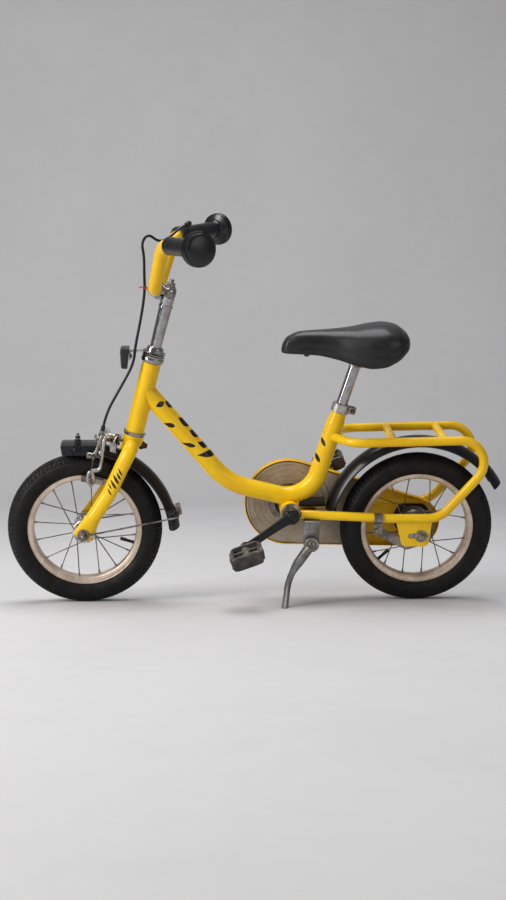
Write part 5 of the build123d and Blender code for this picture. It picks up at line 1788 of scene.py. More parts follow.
    def stop(self) -> None:
        """Builds the boot and the adjuster under the cable, with what hangs on them."""
        shape = Shape("cable_adjuster")
        end = self.cable.spot(-1)
        down = (end - self.cable.spot(-2)).normalized()
        boot = ((-9.0, 2.7), (-9.0, 3.9), (-1.0, 4.2), (0.4, 3.9))
        shape.dress(1).lathe(boot, end, down, 28)
        ribs = ((0.2, 3.4), (0.6, 4.9), (2.4, 4.9), (2.9, 3.6), (3.6, 3.6), (4.2, 4.9), (6.4, 4.9))
        shape.dress(0).lathe((*ribs, (7.0, 3.2)), end, down, 28)
        shape.lathe(((6.8, 5.6), (7.4, 6.2), (10.4, 6.2), (11.0, 5.4)), end, down, 6)
        shape.lathe(((10.8, 3.6), (15.6, 3.6), (16.2, 2.4)), end, down)
        seat = end + down * 12.0
        middle = on_column(self.height, self.reach - 13.9)
        left, level = -self.arm_y, self.shoulder[1]
        near = Vector((middle.x, left, level))
        arm = [seat + ACROSS * 5.0, seat, seat.lerp(near, 0.55), near]
        shape.tube(arm, (5.8, 5.8, 5.0, 5.4), 20, 0.45, down)
        hook = ((-3.0, -4.0, -4.0), (-8.0, -5.0, -4.0), (-11.0, -5.0, 0.0), (-10.0, -5.0, 5.0))
        shape.tube([seat + Vector(point) for point in hook], 1.9, 12)
        high = Vector((-612.0, left - 1.0, level - 1.0))
        low = Vector((-629.0, left - 5.0, 299.0))
        link = [high + Vector((2.0, 0.0, 5.0)), high, high.lerp(low, 0.5), low]
        shape.tube(link, (3.6, 3.6, 3.0, 2.6), 12, 0.42, ACROSS)
        wire = [low, Vector((-631.0, left - 3.0, 286.0)), Vector((-632.0, left, 277.0))]
        shape.dress(3).tube(wire, 0.8, 8)
        cap, way = Vector((-642.0, left - 4.0, 308.0)), Vector((1.0, 0.0, -0.16))
        screw = ((0.0, 0.3), (0.3, 3.6), (1.4, 5.6), (3.0, 6.3), (10.6, 6.3), (11.0, 5.0))
        shape.dress(0).lathe((*screw, (12.4, 5.0)), cap, way, 32)
        shape.lathe(((12.2, 7.0), (12.8, 8.4), (15.6, 8.4), (16.2, 7.0)), cap, way, 32)
        shape.dress(3).lathe(((16.0, 3.0), (27.0, 3.0)), cap, way, 16)
        finishes = [self.look.zinc, self.look.rubber, self.look.guard, self.look.spoke]
        self.shop.add(shape, Body.STEERING, finishes, ["cable_stop"], "zinc_steel")


@dataclass(frozen=True)
class Reflector(Assembly):
    """The front reflector in its tapered housing, on a strip from the locknut."""

    x: float = -568.0
    z: float = 488.0
    wide: float = 46.0
    high: float = 40.0
    deep: float = 16.0
    strip_z: float = 500.5
    eye_height: float = 158.4

    def build(self) -> None:
        """Builds the housing, the lens and the strip."""
        shape = Shape("front_reflector")
        levels = ((8.0, -2.2), (7.0, 0.0), (-5.0, 0.0), (-6.6, -0.8), (-8.0, -1.2))
        rings = [self.section(along, grow) for along, grow in levels]
        shape.skin(rings)
        lens = []
        for along, share in ((-8.2, 0.84), (-9.0, 0.82), (-9.4, 0.74)):
            outline = ((point.y * share, (point.z - self.z) * share) for point in rings[1])
            lens.append([Vector((self.x + along, y, self.z + z)) for y, z in outline])
        shape.dress(1).skin(lens)
        finishes = [self.look.grip, self.look.clear]
        self.shop.add(shape, Body.STEERING, finishes, ["reflector"], "black_plastic")
        self.strip()

    def section(self, along: float, grow: float) -> list[Vector]:
        """One section of the housing, which is deeper and wider at its top.

        Args:
            along: How far it is behind the housing's middle.
            grow: How much it stands out past the housing's sides.

        Returns:
            Its points.
        """
        points = []
        for turn in range(0, 360, 15):
            cosine, sine = squared(math.radians(turn), 0.82)
            y, z = (self.wide / 2 + grow) * cosine, (self.high / 2 + grow) * sine
            share = 0.5 + 0.5 * z / (self.high / 2 * 1.2)
            reach = along * (0.35 + 0.85 * share) if along > 0 else along
            x = self.x + reach + 1.8 * (1.0 - share)
            points.append(Vector((x, y * (0.86 + 0.14 * share), self.z + z)))
        return points

    def strip(self) -> None:
        """Builds the bent strip, its screw and its eye round the column."""
        shape = Shape("reflector_strip")
        end = on_column(163.0).x - 16.0
        start = self.x + self.deep / 2
        middle, size = ((start + end) / 2, 0.0, self.strip_z), (end - start + 3.0, 16.0, 2.0)
        shape.block(middle, size, None, 0.5)
        shape.block((start + 1.6, 0.0, self.strip_z - 8.0), (2.0, 16.0, 17.0), None, 0.5)
        shape.bolt((start + 2.6, 0.0, self.strip_z - 10.0), ALONG, 4.0, 2.8)
        eye = ((0.0, 17.0), (0.0, 21.6), (1.8, 21.6), (1.8, 17.0))
        shape.hoop(eye, on_column(self.eye_height), column_up(), 40)
        self.shop.add(shape, Body.STEERING, [self.look.zinc], ["reflector_bracket"], "zinc_steel")


@dataclass(frozen=True)
class FrontGuard(Assembly):
    """The front mudguard's nose hood and its ribbed flap."""

    x: float = FRONT_X - 1.0
    z: float = AXLE_Z - 10.0
    radius: float = 182.0
    half: float = 29.0
    flap_steps: int = 40
    hood_half: float = 26.0
    hood_high: float = 20.0
    hood_steps: int = 24
    hood_wall: float = 2.6

    def build(self) -> None:
        """Builds the flap and the nose."""
        self.flap()
        self.nose()

    def arch(self, angle: float, outset: float) -> list[Vector]:
        """One closed section of the flap.

        Args:
            angle: The degrees that it is above the axle's level, at the rear.
            outset: How far its outside stands out past the guard's sheet.

        Returns:
            Its points.
        """
        outward = radial(math.radians(angle))
        points = []
        for grow, order in ((outset, range(-12, 13)), (-1.8, range(12, -13, -1))):
            for step in order:
                share = step / 12 * math.pi / 2
                out = self.radius + grow - 14.0 * (1.0 - math.cos(share)) ** 0.9
                y = (self.half + grow) * math.sin(share)
                points.append(Vector((self.x, y, self.z)) + outward * out)
        return points

    def flap(self) -> None:
        """Builds the flap, which flares towards its foot."""
        rings = []
        for step in range(self.flap_steps + 1):
            ribbed = step % 6 in (1, 2, 3) and 4 < step < self.flap_steps
            outset = 1.2 + 1.5 * step / self.flap_steps + (1.2 if ribbed else 0.0)
            rings.append(self.arch(17.2 - step * 0.33, outset))
        shape = Shape("front_guard_ribbed_flap").skin(rings)
        replaced = ["front_guard_flap"]
        self.shop.add(shape, Body.STEERING, [self.look.resin], replaced, "black_plastic")

    def hood(self, along: float, grow: float, drop: float) -> list[Vector]:
        """One closed section of the hood.

        Args:
            along: How far it is behind the hood's middle.
            grow: How much wider it is.
            drop: How much higher its roof is.

        Returns:
            Its points, first outside and then inside.
        """
        top = self.z + self.radius
        slant = 0.16 if along < -30 else 0.0
        points = []
        steps = range(self.hood_steps + 1)
        for inset, order in ((0.0, steps), (self.hood_wall, reversed(steps))):
            for step in order:
                cosine, sine = squared(math.pi * step / self.hood_steps, 0.8)
                y = (self.hood_half + grow - inset) * min(max(cosine, -1.0), 1.0)
                fall = self.hood_high - (self.hood_high + drop - inset) * min(sine, 1.0)
                points.append(Vector((self.x + 1.0 + along + slant * fall, y, top - fall)))
        return points

    def nose(self) -> None:
        """Builds the hood, its knobs at both sides and the stud on top."""
        shape = Shape("front_guard_hood")
        levels = ((-44.0, -4.5, -4.0), (-43.2, -1.4, -1.2), (-40.5, 0.0, 0.0), (0.0, 0.0, 0.0))
        rings = [self.hood(*level) for level in (*levels, (32.6, 0.0, 0.0))]
        shape.skin(rings)
        front, edge = (ring[: self.hood_steps + 1] for ring in rings[:2])
        shape.skin([[point + ALONG for point in edge], front])
        top = self.z + self.radius
        boss = Vector((self.x - 13.0, 0.0, top - 10.0))
        knob = ((25.0, 10.4), (26.6, 10.4), (27.2, 9.4), (27.2, 7.8), (26.6, 7.2), (26.6, 5.2))
        for side in SIDES:
            way = ACROSS * side
            shape.lathe((*knob, (27.6, 4.4), (28.2, 2.4), (28.4, 0.3)), boss, way, 40)
            for step in range(12):
                notch = boss + radial(math.radians(30 * step)) * 8.8 + way * 27.2
                shape.block(notch, (1.6, 1.6, 1.6), None, 0.3)
        stud = Vector((self.x - 10.0, 0.0, top))
        shape.dress(1).lathe(((-1.0, 3.0), (16.8, 3.0), (17.8, 2.4)), stud, UP, 20)
        shape.dress(2).lathe(((0.0, 7.0), (1.0, 7.2), (1.4, 6.6)), stud, UP, 28)
        shape.bolt(stud + UP * 1.2, UP, 5.6, 5.0)
        shape.bolt(stud + UP * 8.4, UP, 5.0, 4.2)
        finishes = [self.look.guard, self.look.spoke, self.look.resin]
        self.shop.add(shape, Body.STEERING, finishes, ["front_guard_nose"], "black_plastic")


@dataclass(frozen=True)
class Saddle(Assembly):
    """The padded saddle on its post, with its seam and its base.

    A station is a distance behind the post's top, a half width, and the heights
    of the skirt and of the crown.
    """

    stations: tuple[tuple[float, float, float, float], ...] = (
        (-150.4, 7.0, -1.0, 7.0),
        (-147.4, 13.5, -2.0, 17.0),
        (-140.4, 19.0, -3.0, 28.0),
        (-119.4, 24.0, -3.5, 38.5),
        (-79.4, 29.0, -5.0, 41.5),
        (-44.4, 40.0, -12.0, 43.5),
        (-12.4, 58.0, -21.0, 47.0),
        (16.6, 70.0, -26.0, 53.0),
        (45.6, 75.0, -22.0, 56.0),
        (70.6, 68.0, -9.0, 51.0),
        (87.6, 48.0, 7.0, 38.0),
        (93.1, 26.0, 15.0, 27.0),
    )
    post_top: float = 500.0
    levels: int = 2

    def ring(self, behind: float, wide: float, low: float, high: float) -> list[Vector]:
        """One section: the base, the tucked skirt, the seam and the crown.

        Args:
            behind: Its distance behind the post's top.
            wide: Its half width.
            low: The height of its skirt over the post's top.
            high: The height of its crown.

        Returns:
            Its points.
        """
        top = on_seat_tube(self.post_top)
        tall = high - low
        seam, crown = low + tall * 0.36, low + tall * 0.42
        half = [(0.0, low + tall * 0.05), (wide * 0.5, low + tall * 0.03), (wide * 0.86, low)]
        half += [(wide * 0.97, low + tall * 0.05), (wide, low + tall * 0.2)]
        half += [(wide * 0.995, seam - tall * 0.05), (wide * 0.965, seam), (wide * 0.985, crown)]
        for step in range(1, 9):
            turn = math.pi / 2 * step / 8
            across = wide * 0.985 * max(math.cos(turn), 0.0) ** 0.72
            half.append((across, crown + (high - crown) * math.sin(turn) ** 0.86))
        around = half + [(-y, z) for y, z in reversed(half[1:-1])]
        return [Vector((top.x + behind, y, top.z + z)) for y, z in around]

    def build(self) -> None:
        """Builds the pad, its base tab and the post's clamp under it."""
        shape = Shape("saddle_pad")
        rings = []
        for first, second in zip(self.stations, self.stations[1:]):
            for share in (0.0, 1 / 3, 2 / 3):
                rings.append(self.ring(*(a + (b - a) * share for a, b in zip(first, second))))
        shape.skin(rings + [self.ring(*self.stations[-1])])
        axes = {"use_axis_x": True, "use_axis_y": True, "use_axis_z": True}
        for _ in range(2):
            bmesh.ops.smooth_vert(shape.mesh, verts=shape.mesh.verts, factor=0.25, **axes)
        pad = self.shop.add(shape, Body.FRAME, [self.look.cover], ["saddle"], "saddle_cover", 60)
        rounding = pad.modifiers.new("rounding", "SUBSURF")
        rounding.levels = rounding.render_levels = self.levels
        self.base()

    def base(self) -> None:
        """Builds the tab under the nose and the clamp on the post."""
        shape = Shape("saddle_base")
        top, up = on_seat_tube(self.post_top), seat_up()
        shape.block(top + Vector((-102.0, 0.0, -5.5)), (9.0, 16.0, 7.0), None, 1.0)
        shape.dress(1)
        shape.lathe(((-30.0, 12.6), (-29.0, 14.2), (-9.0, 14.2), (-8.0, 13.0)), top, up, 40)
        cross = top - up * 19.0
        shape.lathe(((-34.0, 6.0), (34.0, 6.0)), cross, ACROSS, 28)
        for side in SIDES:
            way = ACROSS * side
            shape.lathe(((22.0, 9.4), (26.0, 9.4), (27.0, 8.6)), cross, way, 32)
            shape.bolt(cross + way * 27.0, way, 7.4, 5.0)
        self.shop.add(shape, Body.FRAME, [self.look.resin, self.look.zinc])


@dataclass(frozen=True)
class SeatClamp(Assembly):
    """The collar that pinches the seat tube round its post."""

    top_z: float = 396.0
    high: float = 15.0

    def build(self) -> None:
        """Builds the collar, its two ears and the bolt through them."""
        shape = Shape("seat_collar")
        foot = on_seat_tube(self.top_z - self.high)
        run = (on_seat_tube(self.top_z + 2) - foot).length
        lip = ((-1.6, 17.2), (-0.4, 16.2), (0.0, 11.4), (-1.6, 11.4), (-2.0, 14.1))
        ring = ((0.0, 14.1), (0.0, 16.4), (0.8, 17.2), *moved(lip, run))
        shape.hoop(ring, foot, seat_up(), 56)
        ear = on_seat_tube(self.top_z - self.high / 2) + Vector((21.5, 0.0, -4.0))
        turn = Matrix.Rotation(math.radians(14.0), 3, "Y")
        for side in SIDES:
            shape.block(ear + ACROSS * side * 4.6, (16.0, 5.6, 14.5), turn, 1.4)
        bolt = ear - UP * 0.5
        shape.dress(1)
        for reach, radius in ((10.0, 3.0), (2.0, 4.6)):
            shape.lathe(((-reach, radius), (reach, radius)), bolt, ACROSS, 20)
        shape.bolt(bolt + Vector((2.0, -7.4, 0.0)), -ACROSS, 3.8, 2.6, 4.6)
        shape.bolt(bolt + Vector((2.0, 7.4, 0.0)), ACROSS, 4.2, 3.6, 5.0)
        finishes = [self.look.alloy, self.look.spoke]
        self.shop.add(shape, Body.FRAME, finishes, ["seat_clamp"], "chrome")


@dataclass(frozen=True)
class ChainCase(Assembly):
    """The closed case over the right side's chain, seen from both sides."""

    inner_y: float = 38.0
    deep: float = 22.0
    wall: float = 1.6
    front: float = 86.5
    rear: float = 50.0
    rear_x: float = 3.0
    rear_z: float = AXLE_Z - 4.0
    steps: int = 48
    rows: int = 72
    screws: tuple[Pair, ...] = ((-292.0, 118.0), (-292.0, 258.0), (-60.0, 120.0), (-60.0, 204.0))

    def outline(self, grow: float) -> list[Pair]:
        """The outline round both sprockets.

        Args:
            grow: The margin that it is grown by.

        Returns:
            Its points.
        """
        span = Vector((self.rear_x - BB.x, self.rear_z - BB.z))
        tilt = math.atan2(span.y, span.x)
        upper = tilt + math.pi / 2 - math.asin((self.front - self.rear) / span.length)
        sweep = 2 * math.pi - 2 * (upper - tilt)
        front = self.arc(BB.x, BB.z, self.front + grow, upper, sweep, self.steps)
        rear, rest = max(self.rear + grow, 0.5), 2 * math.pi - sweep
        back = self.arc(self.rear_x, self.rear_z, rear, upper + sweep, rest, self.steps // 2)
        return front + between(front[-1], back[0]) + back + between(back[-1], front[0])

    @staticmethod
    def arc(
        x: float, z: float, radius: float, start: float, sweep: float, steps: int
    ) -> list[Pair]:
        """Points along an arc, both ends included."""
        turns = [start + sweep * step / steps for step in range(steps + 1)]
        return [(x + radius * math.cos(turn), z + radius * math.sin(turn)) for turn in turns]

    def build(self) -> None:
        """Builds the cover and the back plate."""
        self.cover()
        self.back()

    def cover(self) -> None:
        """Builds the pressed cover, a shell open towards the wheel, with painted shade round the
        hub.
        """
        shape = Shape("chaincase_shell")
        wall, inner, outer = self.wall, self.inner_y, self.inner_y + self.deep
        levels = moved(((-3.0, -40.0), (-2.2, -8.0), (-4.0, -3.2), (-8.0, -wall - 0.3)), outer)
        rim = ((0.6, -wall), (0.0, 0.5 - wall), (0.0, -0.3), (0.8, 0.3), (3.4, 0.5), (4.2, 0.0))
        levels += moved(rim, inner)
        press = ((-4.2, -0.4), (-1.4, -2.2), (-0.2, -5.6), (0.0, -9.0), (0.0, -13.0), (-1.6, -15.0))
        levels += moved((*press, (-1.6, -21.0), (-0.2, -23.0), (0.0, -40.0)), outer)
        shape.skin([[Vector((x, y, z)) for x, z in self.outline(grow)] for y, grow in levels])
        hub = Vector((0.0, outer, AXLE_Z))
        seal = ((-14.6, 15.2), (-14.6, 19.6), (-12.0, 19.6), (-12.0, 15.2))
        shape.dress(1).hoop(seal, hub, ACROSS)
        # painted shade: a dark disc inside the grey ring stands for the shadowed opening round the
        # axle
        shape.dress(2).lathe(((-13.8, 0.3), (-13.8, 15.6)), hub, ACROSS, 48)
        # painted shade: a dark ring just inside the cover's face stands for the shade round the hub
        shape.hoop(((-3.2, 37.0), (-4.4, 36.2), (-4.6, 20.0), (-3.2, 19.0)), hub, ACROSS, 60)
        shape.dress(3)
        for x, z in self.screws:
            shape.lathe(((-1.8, 4.4), (-0.6, 4.4), (0.4, 3.0), (0.5, 0.4)), (x, outer, z), ACROSS)
        finishes = [self.look.case_yellow, self.look.case_grey, self.look.rubber, self.look.zinc]
        self.shop.add(shape, Body.FRAME, finishes, ["chaincase_cover"], "yellow_plastic", 30)

    def back(self) -> None:
        """Builds the back plate, ribbed in rings and cut away round the wheel."""
        shape = Shape("chaincase_back_plate")
        reach = TYRE_RADIUS - 22.0
        edge = self.outline(-self.wall - 2.0)
        low, high = min(z for _, z in edge), max(z for _, z in edge)
        near, far = self.inner_y, self.inner_y + self.wall
        rings = []
        for step in range(1, self.rows):
            level = (low + high) / 2 - (high - low) / 2 * math.cos(math.pi * step / self.rows)
            spots = []
            for (x0, z0), (x1, z1) in zip(edge, edge[1:] + edge[:1]):
                if (z0 - level) * (z1 - level) < 0:
                    spots.append(x0 + (x1 - x0) * (level - z0) / (z1 - z0))
            front = min(spots)
            wheel = -math.sqrt(reach**2 - (level - AXLE_Z) ** 2)
            rear = max(min(max(spots), wheel), front + 0.5)
            section = ((front, near), (rear, near), (rear, far), (front, far))
            rings.append([Vector((x, y, level)) for x, y in section])
        shape.skin(rings)
        foot = BB + ACROSS * self.inner_y
        ribs = ((80.0, 1.0, 1.8), (68.0, 0.7, 1.2), (57.0, 0.7, 1.2), (47.0, 0.7, 1.2))
        for radius, tall, wide in ribs:
            rib = ((-0.4, wide), (tall, wide * 0.5), (tall, -wide * 0.5), (-0.4, -wide))
            shape.hoop(moved(rib, 0.0, radius), foot, -ACROSS, 96)
        disc = ((-0.6, 40.0), (1.6, 39.4), (2.0, 37.6), (2.0, 27.0), (-0.6, 26.0))
        shape.dress(1).hoop(disc, foot, -ACROSS, 72)
        seal = ((-0.6, 26.4), (2.4, 26.0), (2.4, 23.6), (5.0, 22.8), (5.0, 17.0), (-0.6, 17.0))
        shape.dress(2).hoop(seal, foot, -ACROSS, 60)
        finishes = [self.look.case_grey, self.look.zinc, self.look.rubber]
        self.shop.add(shape, Body.FRAME, finishes, ["chaincase_back"], "grey_plastic", 30)


@dataclass(frozen=True)
class Crank(Assembly):
    """One crank with its boss, its dust cap and its tapered arm."""

    name: str
    side: int
    boss_y: float
    tip_y: float
    turn: float
    length: float = 105.0
    gap: float = 9.0
    eye: float = 5.5

    @property
    def tip(self) -> Vector:
        """The middle of the crank's eye."""
        reach = BB + radial(math.radians(self.turn)) * self.length
        return reach + ACROSS * self.side * (self.tip_y + self.eye)

    def build(self) -> None:
        """Builds the crank."""
        shape = Shape(self.name + "_arm")
        out = ACROSS * self.side
        boss = BB + out * self.boss_y
        profile = ((-0.2, 13.6), (0.6, 15.2), (3.0, 16.0), (11.5, 15.4), (14.0, 14.0), (15.0, 12.2))
        shape.lathe(profile, boss, out, 48)
        cap = ((14.4, 9.6), (16.0, 9.2), (16.8, 8.2), (16.4, 7.0), (15.2, 6.4), (15.0, 0.3))
        shape.lathe(cap, boss, out, 36)
        start = boss + out * 7.5
        across = (self.tip - start).cross(out).normalized()
        stations = ((0.02, 12.4, 6.6), (0.16, 9.6, 6.7), (0.3, 8.4, 6.4), (0.6, 7.4, 6.0))
        rings = []
        for share, wide, thick in (*stations, (0.86, 7.6, 5.6), (0.98, 8.8, 5.2)):
            centre, section = start.lerp(self.tip, share), oval(32, wide, thick, 0.62, 0.62)
            rings.append([centre + across * u + out * v for u, v in section])
        shape.skin(rings)
        shape.lathe(((-5.4, 10.2), (-4.6, 11.0), (4.6, 11.0), (5.4, 10.2)), self.tip, out, 40)
        shape.dress(1).lathe(((5.2, 6.8), (6.0, 6.6), (8.6, 6.4)), self.tip, out, 6)
        finishes = [self.look.enamel, self.look.zinc]
        self.shop.add(shape, Body.CRANKS, finishes, [self.name], "black_enamel", 40)


@dataclass(frozen=True)
class Pedal(Assembly):
    """A moulded pedal with four windows and a bar at each edge."""

    name: str
    crank: Crank
    body: Body
    edge_finish: int
    length: float = 60.0
    width: float = 68.0
    high: float = 26.0
    tilt: float = 20.0

    def build(self) -> None:
        """Builds the pedal round its spindle."""
        shape = Shape(self.name + "_platform")
        side, half = self.crank.side, self.width / 2
        out = ACROSS * side
        centre = self.crank.tip + out * (self.crank.eye + self.crank.gap + half)
        turn = Matrix.Rotation(-math.radians(self.tilt), 3, "Y")
        front, tall = self.length / 2, self.high
        for edge in SIDES:
            outline = oval(40, front, tall / 2, 0.36, 0.4)
            shape.plate(outline, centre + ACROSS * edge * (half - 3.0), 6.0, 1.0, turn)
        for along in SIDES:
            bar = turn @ Vector((along * (front - 3.6), 0.0, 0.0))
            shape.block(centre + bar, (6.0, self.width - 11.0, tall * 0.72), turn, 1.0)
            for up in SIDES:
                lift = turn @ UP * up * (tall * 0.36 + 0.8)
                for index in range(6):
                    stud = centre + bar + lift + ACROSS * (-24.0 + index * 9.6)
                    shape.block(stud, (5.0, 3.2, 2.6), turn, 0.6)
        for y in (-11.5, 11.5):
            shape.block(centre + ACROSS * y, (self.length - 12.0, 4.4, tall * 0.6), turn)
        barrel = moved(((1.0, 9.4), (6.0, 9.8)), -half) + [(-10.0, 8.4), (10.0, 8.4)]
        cap = ((-6.0, 9.8), (-0.4, 12.0), (0.9, 11.4), (1.3, 9.4), (0.9, 8.4), (1.6, 6.6))
        shape.lathe(barrel + moved((*cap, (1.9, 0.3)), half), centre, out, 36)
        for along in SIDES:
            face = turn @ Vector((along * (front + 0.1), 0.0, 0.0))
            shape.dress(self.edge_finish).block(centre + face, (3.0, 46.0, 13.0), turn)
            shape.dress(0)
            for level in SIDES:
                lip = turn @ Vector((along * (front + 0.4), 0.0, level * 7.6))
                shape.block(centre + lip, (4.0, 50.0, 2.2), turn, 0.6)
        finishes = [self.look.pedal, self.look.amber]
        self.shop.add(shape, self.body, finishes, [self.name], "black_plastic")


@dataclass(frozen=True)
class SideStand(Assembly):
    """The cast leg, its bracket under the stays and its pivot bolt."""

    x: float = -209.5
    y: float = 38.0
    z: float = AXLE_Z - 22.0
    thick: float = 14.0
    knee: Triple = (-253.0, -47.0, 64.0)
    foot: Triple = (-265.5, -121.0, 18.0)
    rod: float = 6.5
    plate_z: float = 176.25
    hanger: float = 15.5

    def build(self) -> None:
        """Builds the leg, the bracket and the bolt."""
        self.leg()
        self.mount()
        self.bolt()

    def leg(self) -> None:
        """Builds the leg, pressed flat where it meets the leaned floor."""
        shape = Shape("side_stand_cast_leg")
        thick, hub = self.thick, Vector((self.x, -self.y, self.z))
        rim = moved(((-2.6, 14.8), (-1.2, 14.0), (-0.4, 12.6)), thick)
        shape.lathe([(0.4, 13.4), (1.2, 14.8), *rim], hub, -ACROSS, 56)
        line = rounded((hub - ACROSS * (self.rod + 0.3), self.knee, self.foot), (60.0,), 18)
        tail = (line[-1] - line[-2]).normalized()
        line[-1] -= tail * 6.0
        shares = [index / (len(line) - 1) for index in range(len(line))]
        radii = [11.4 - 3.6 * min(share / 0.4, 1.0) - 0.8 * share for share in shares]
        shape.tube(line, radii, 28, 0.86, UP)
        sole = ((-8.0, 6.4), (-7.4, 7.2), (-2.0, 7.4), (-1.0, 7.0))
        shape.lathe(sole, self.foot, tail, 32)
        up = Vector((0.0, math.sin(LEAN), math.cos(LEAN)))
        for vertex in shape.mesh.verts:
            vertex.co -= up * min(vertex.co.dot(up) + 0.55, 0.0)
        self.shop.add(shape, Body.STAND, [self.look.cast], ["side_stand_leg"], "alloy", 45)

    def mount(self) -> None:
        """Builds the plate under the stays, its hanger and its bolt."""
        shape = Shape("side_stand_mount")
        top, reach, eye = self.plate_z, self.hanger, self.z
        shape.block((self.x, -7.5, top - 2.5), (31.0, 87.0, 5.0), None, 1.2)
        turns = [math.radians(180 + 15 * step) for step in range(13)]
        lower = [(reach * math.cos(turn), eye + reach * math.sin(turn)) for turn in turns]
        hanger = [(-reach, top - 3.0), (-reach, eye + 2.0), *lower, (reach, eye + 2.0)]
        shape.plate(hanger + [(reach, top - 3.0)], (self.x, 6.0 - self.y, 0.0), 11.6, 1.0)
        shape.dress(1).bolt((self.x, 0.0, top - 5.0), -UP, 7.6, 5.4, 10.0)
        finishes = [self.look.cast, self.look.zinc]
        self.shop.add(shape, Body.FRAME, finishes, ["stand_bracket"], "zinc_steel")

    def bolt(self) -> None:
        """Builds the pivot bolt with its washer and its domed head."""
        shape = Shape("side_stand_pivot")
        face = (self.x, -self.y - self.thick, self.z)
        shape.lathe(((-25.6, 5.0), (0.0, 5.0)), face, -ACROSS)
        shape.lathe(((0.0, 10.6), (1.2, 10.6), (1.5, 10.0)), face, -ACROSS, 40)
        dome = ((1.4, 8.6), (2.4, 8.4), (4.2, 6.6), (5.2, 3.8), (5.6, 0.3))
        shape.lathe(dome, face, -ACROSS, 36)
        self.shop.add(shape, Body.FRAME, [self.look.zinc], ["stand_pivot_bolt"], "zinc_steel")


@dataclass(frozen=True)
class BottomBracket(Assembly):
    """The rings that close the bottom bracket's shell."""

    half: float = 34.0

    def build(self) -> None:
        """Builds a stack of rings on each side of the shell."""
        shape = Shape("bottom_bracket_rings")
        stack = ((-0.4, 12.0), (-0.4, 18.4), (0.6, 19.2), (2.8, 19.2), (3.6, 18.4), (4.0, 16.8))
        stack += ((5.0, 16.8), (5.4, 17.8), (7.4, 17.8), (8.2, 16.8), (8.6, 15.0), (11.0, 14.6))
        for side in SIDES:
            way = ACROSS * side
            shape.hoop((*stack, (11.6, 12.0)), BB + way * self.half, way, 56)
        self.shop.add(shape, Body.FRAME, [self.look.zinc], ["bottom_bracket_cups"], "zinc_steel")


@dataclass(frozen=True)
class BrakeArmBolt(Assembly):
    """The bolt through the rear brake arm's clamp."""

    seat: Triple = (-85.0, -60.5, 160.5)

    def build(self) -> None:
        """Builds the bolt, its washers and its nut."""
        shape = Shape("brake_arm_clamp_bolt")
        seat = Vector(self.seat)
        shape.lathe(((-6.0, 3.0), (8.0, 3.0)), seat, -ACROSS, 20)
        shape.bolt(seat - ACROSS * 6.0, -ACROSS, 4.8, 3.2, 6.4)
        shape.bolt(seat + ACROSS * 4.0, ACROSS, 4.8, 3.2, 6.0)
        self.shop.add(shape, Body.FRAME, [self.look.zinc])


@dataclass(frozen=True)
class PlainParts(Assembly):
    """The tubes, guards and rods that keep their own solids."""

    painted: tuple[str, ...] = (
        "head_tube",
        "bottom_bracket_shell",
        "rear_loop_left",
        "rear_loop_right",
        "rack_cross_tubes",
        "dropouts",
        "handlebar",
    )
    plated: tuple[str, ...] = (
        "rear_axle",
        "front_axle",
        "brake_arm",
        "brake_arm_clamp",
        "mudguard_stays",
        "mudguard_bolt",
        "mudguard_clips",
        "crank_axle",
        "pedal_spindles",
    )
    guards: tuple[str, ...] = ("front_mudguard", "rear_mudguard", "mudguard_strut")

    def build(self) -> None:
        """Gives each solid its finish."""
        self.shop.dress(self.look.striped, "main_tube")
        self.shop.dress(self.look.fork, "fork")
        self.shop.dress(self.look.paint, *self.painted)
        self.shop.dress(self.look.zinc, *self.plated)
        self.shop.dress(self.look.chrome, "seat_post")
        self.shop.dress(self.look.guard, *self.guards)


# -------------------------------------------------------------------- scene
@dataclass(frozen=True)
class Ground(Finish):
    """The floor's even, matt colour."""

    def lay(self, wiring: Wiring) -> dict[str, object]:
        """Lays a broad, faint mottle.

        Args:
            wiring: The material's wiring.

        Returns:
            The shader's sockets by name.
        """
        wall, shade = (0.62, 0.614, 0.616, 1.0), (0.5952, 0.58944, 0.59136, 1.0)
        noisy = wiring.group(Mottle, Scale=2.0, Base=wall, Shade=shade, Dull=0.95, Gloss=0.85)
        matt = {"Roughness": noisy["Roughness"], "Specular IOR Level": 0.2}
        return {"Base Color": noisy["Color"], **matt}


@dataclass(frozen=True)
class Lamp:
    """A soft rectangular lamp that faces the bicycle."""

    name: str
    place: Triple
    size: Pair
    power: float
    tint: Triple

    def hang(self) -> None:
        """Hangs the lamp."""
        data = bpy.data.lights.new(self.name, "AREA")
        data.shape = "RECTANGLE"
        data.size, data.size_y = self.size
        data.energy = self.power
        data.color = self.tint
        lamp = bpy.data.objects.new(self.name, data)
        lamp.location = self.place
        aim = Vector((0.0, 0.0, 0.35)) - Vector(self.place)
        lamp.rotation_euler = aim.to_track_quat("-Z", "Y").to_euler()
        bpy.context.scene.collection.objects.link(lamp)


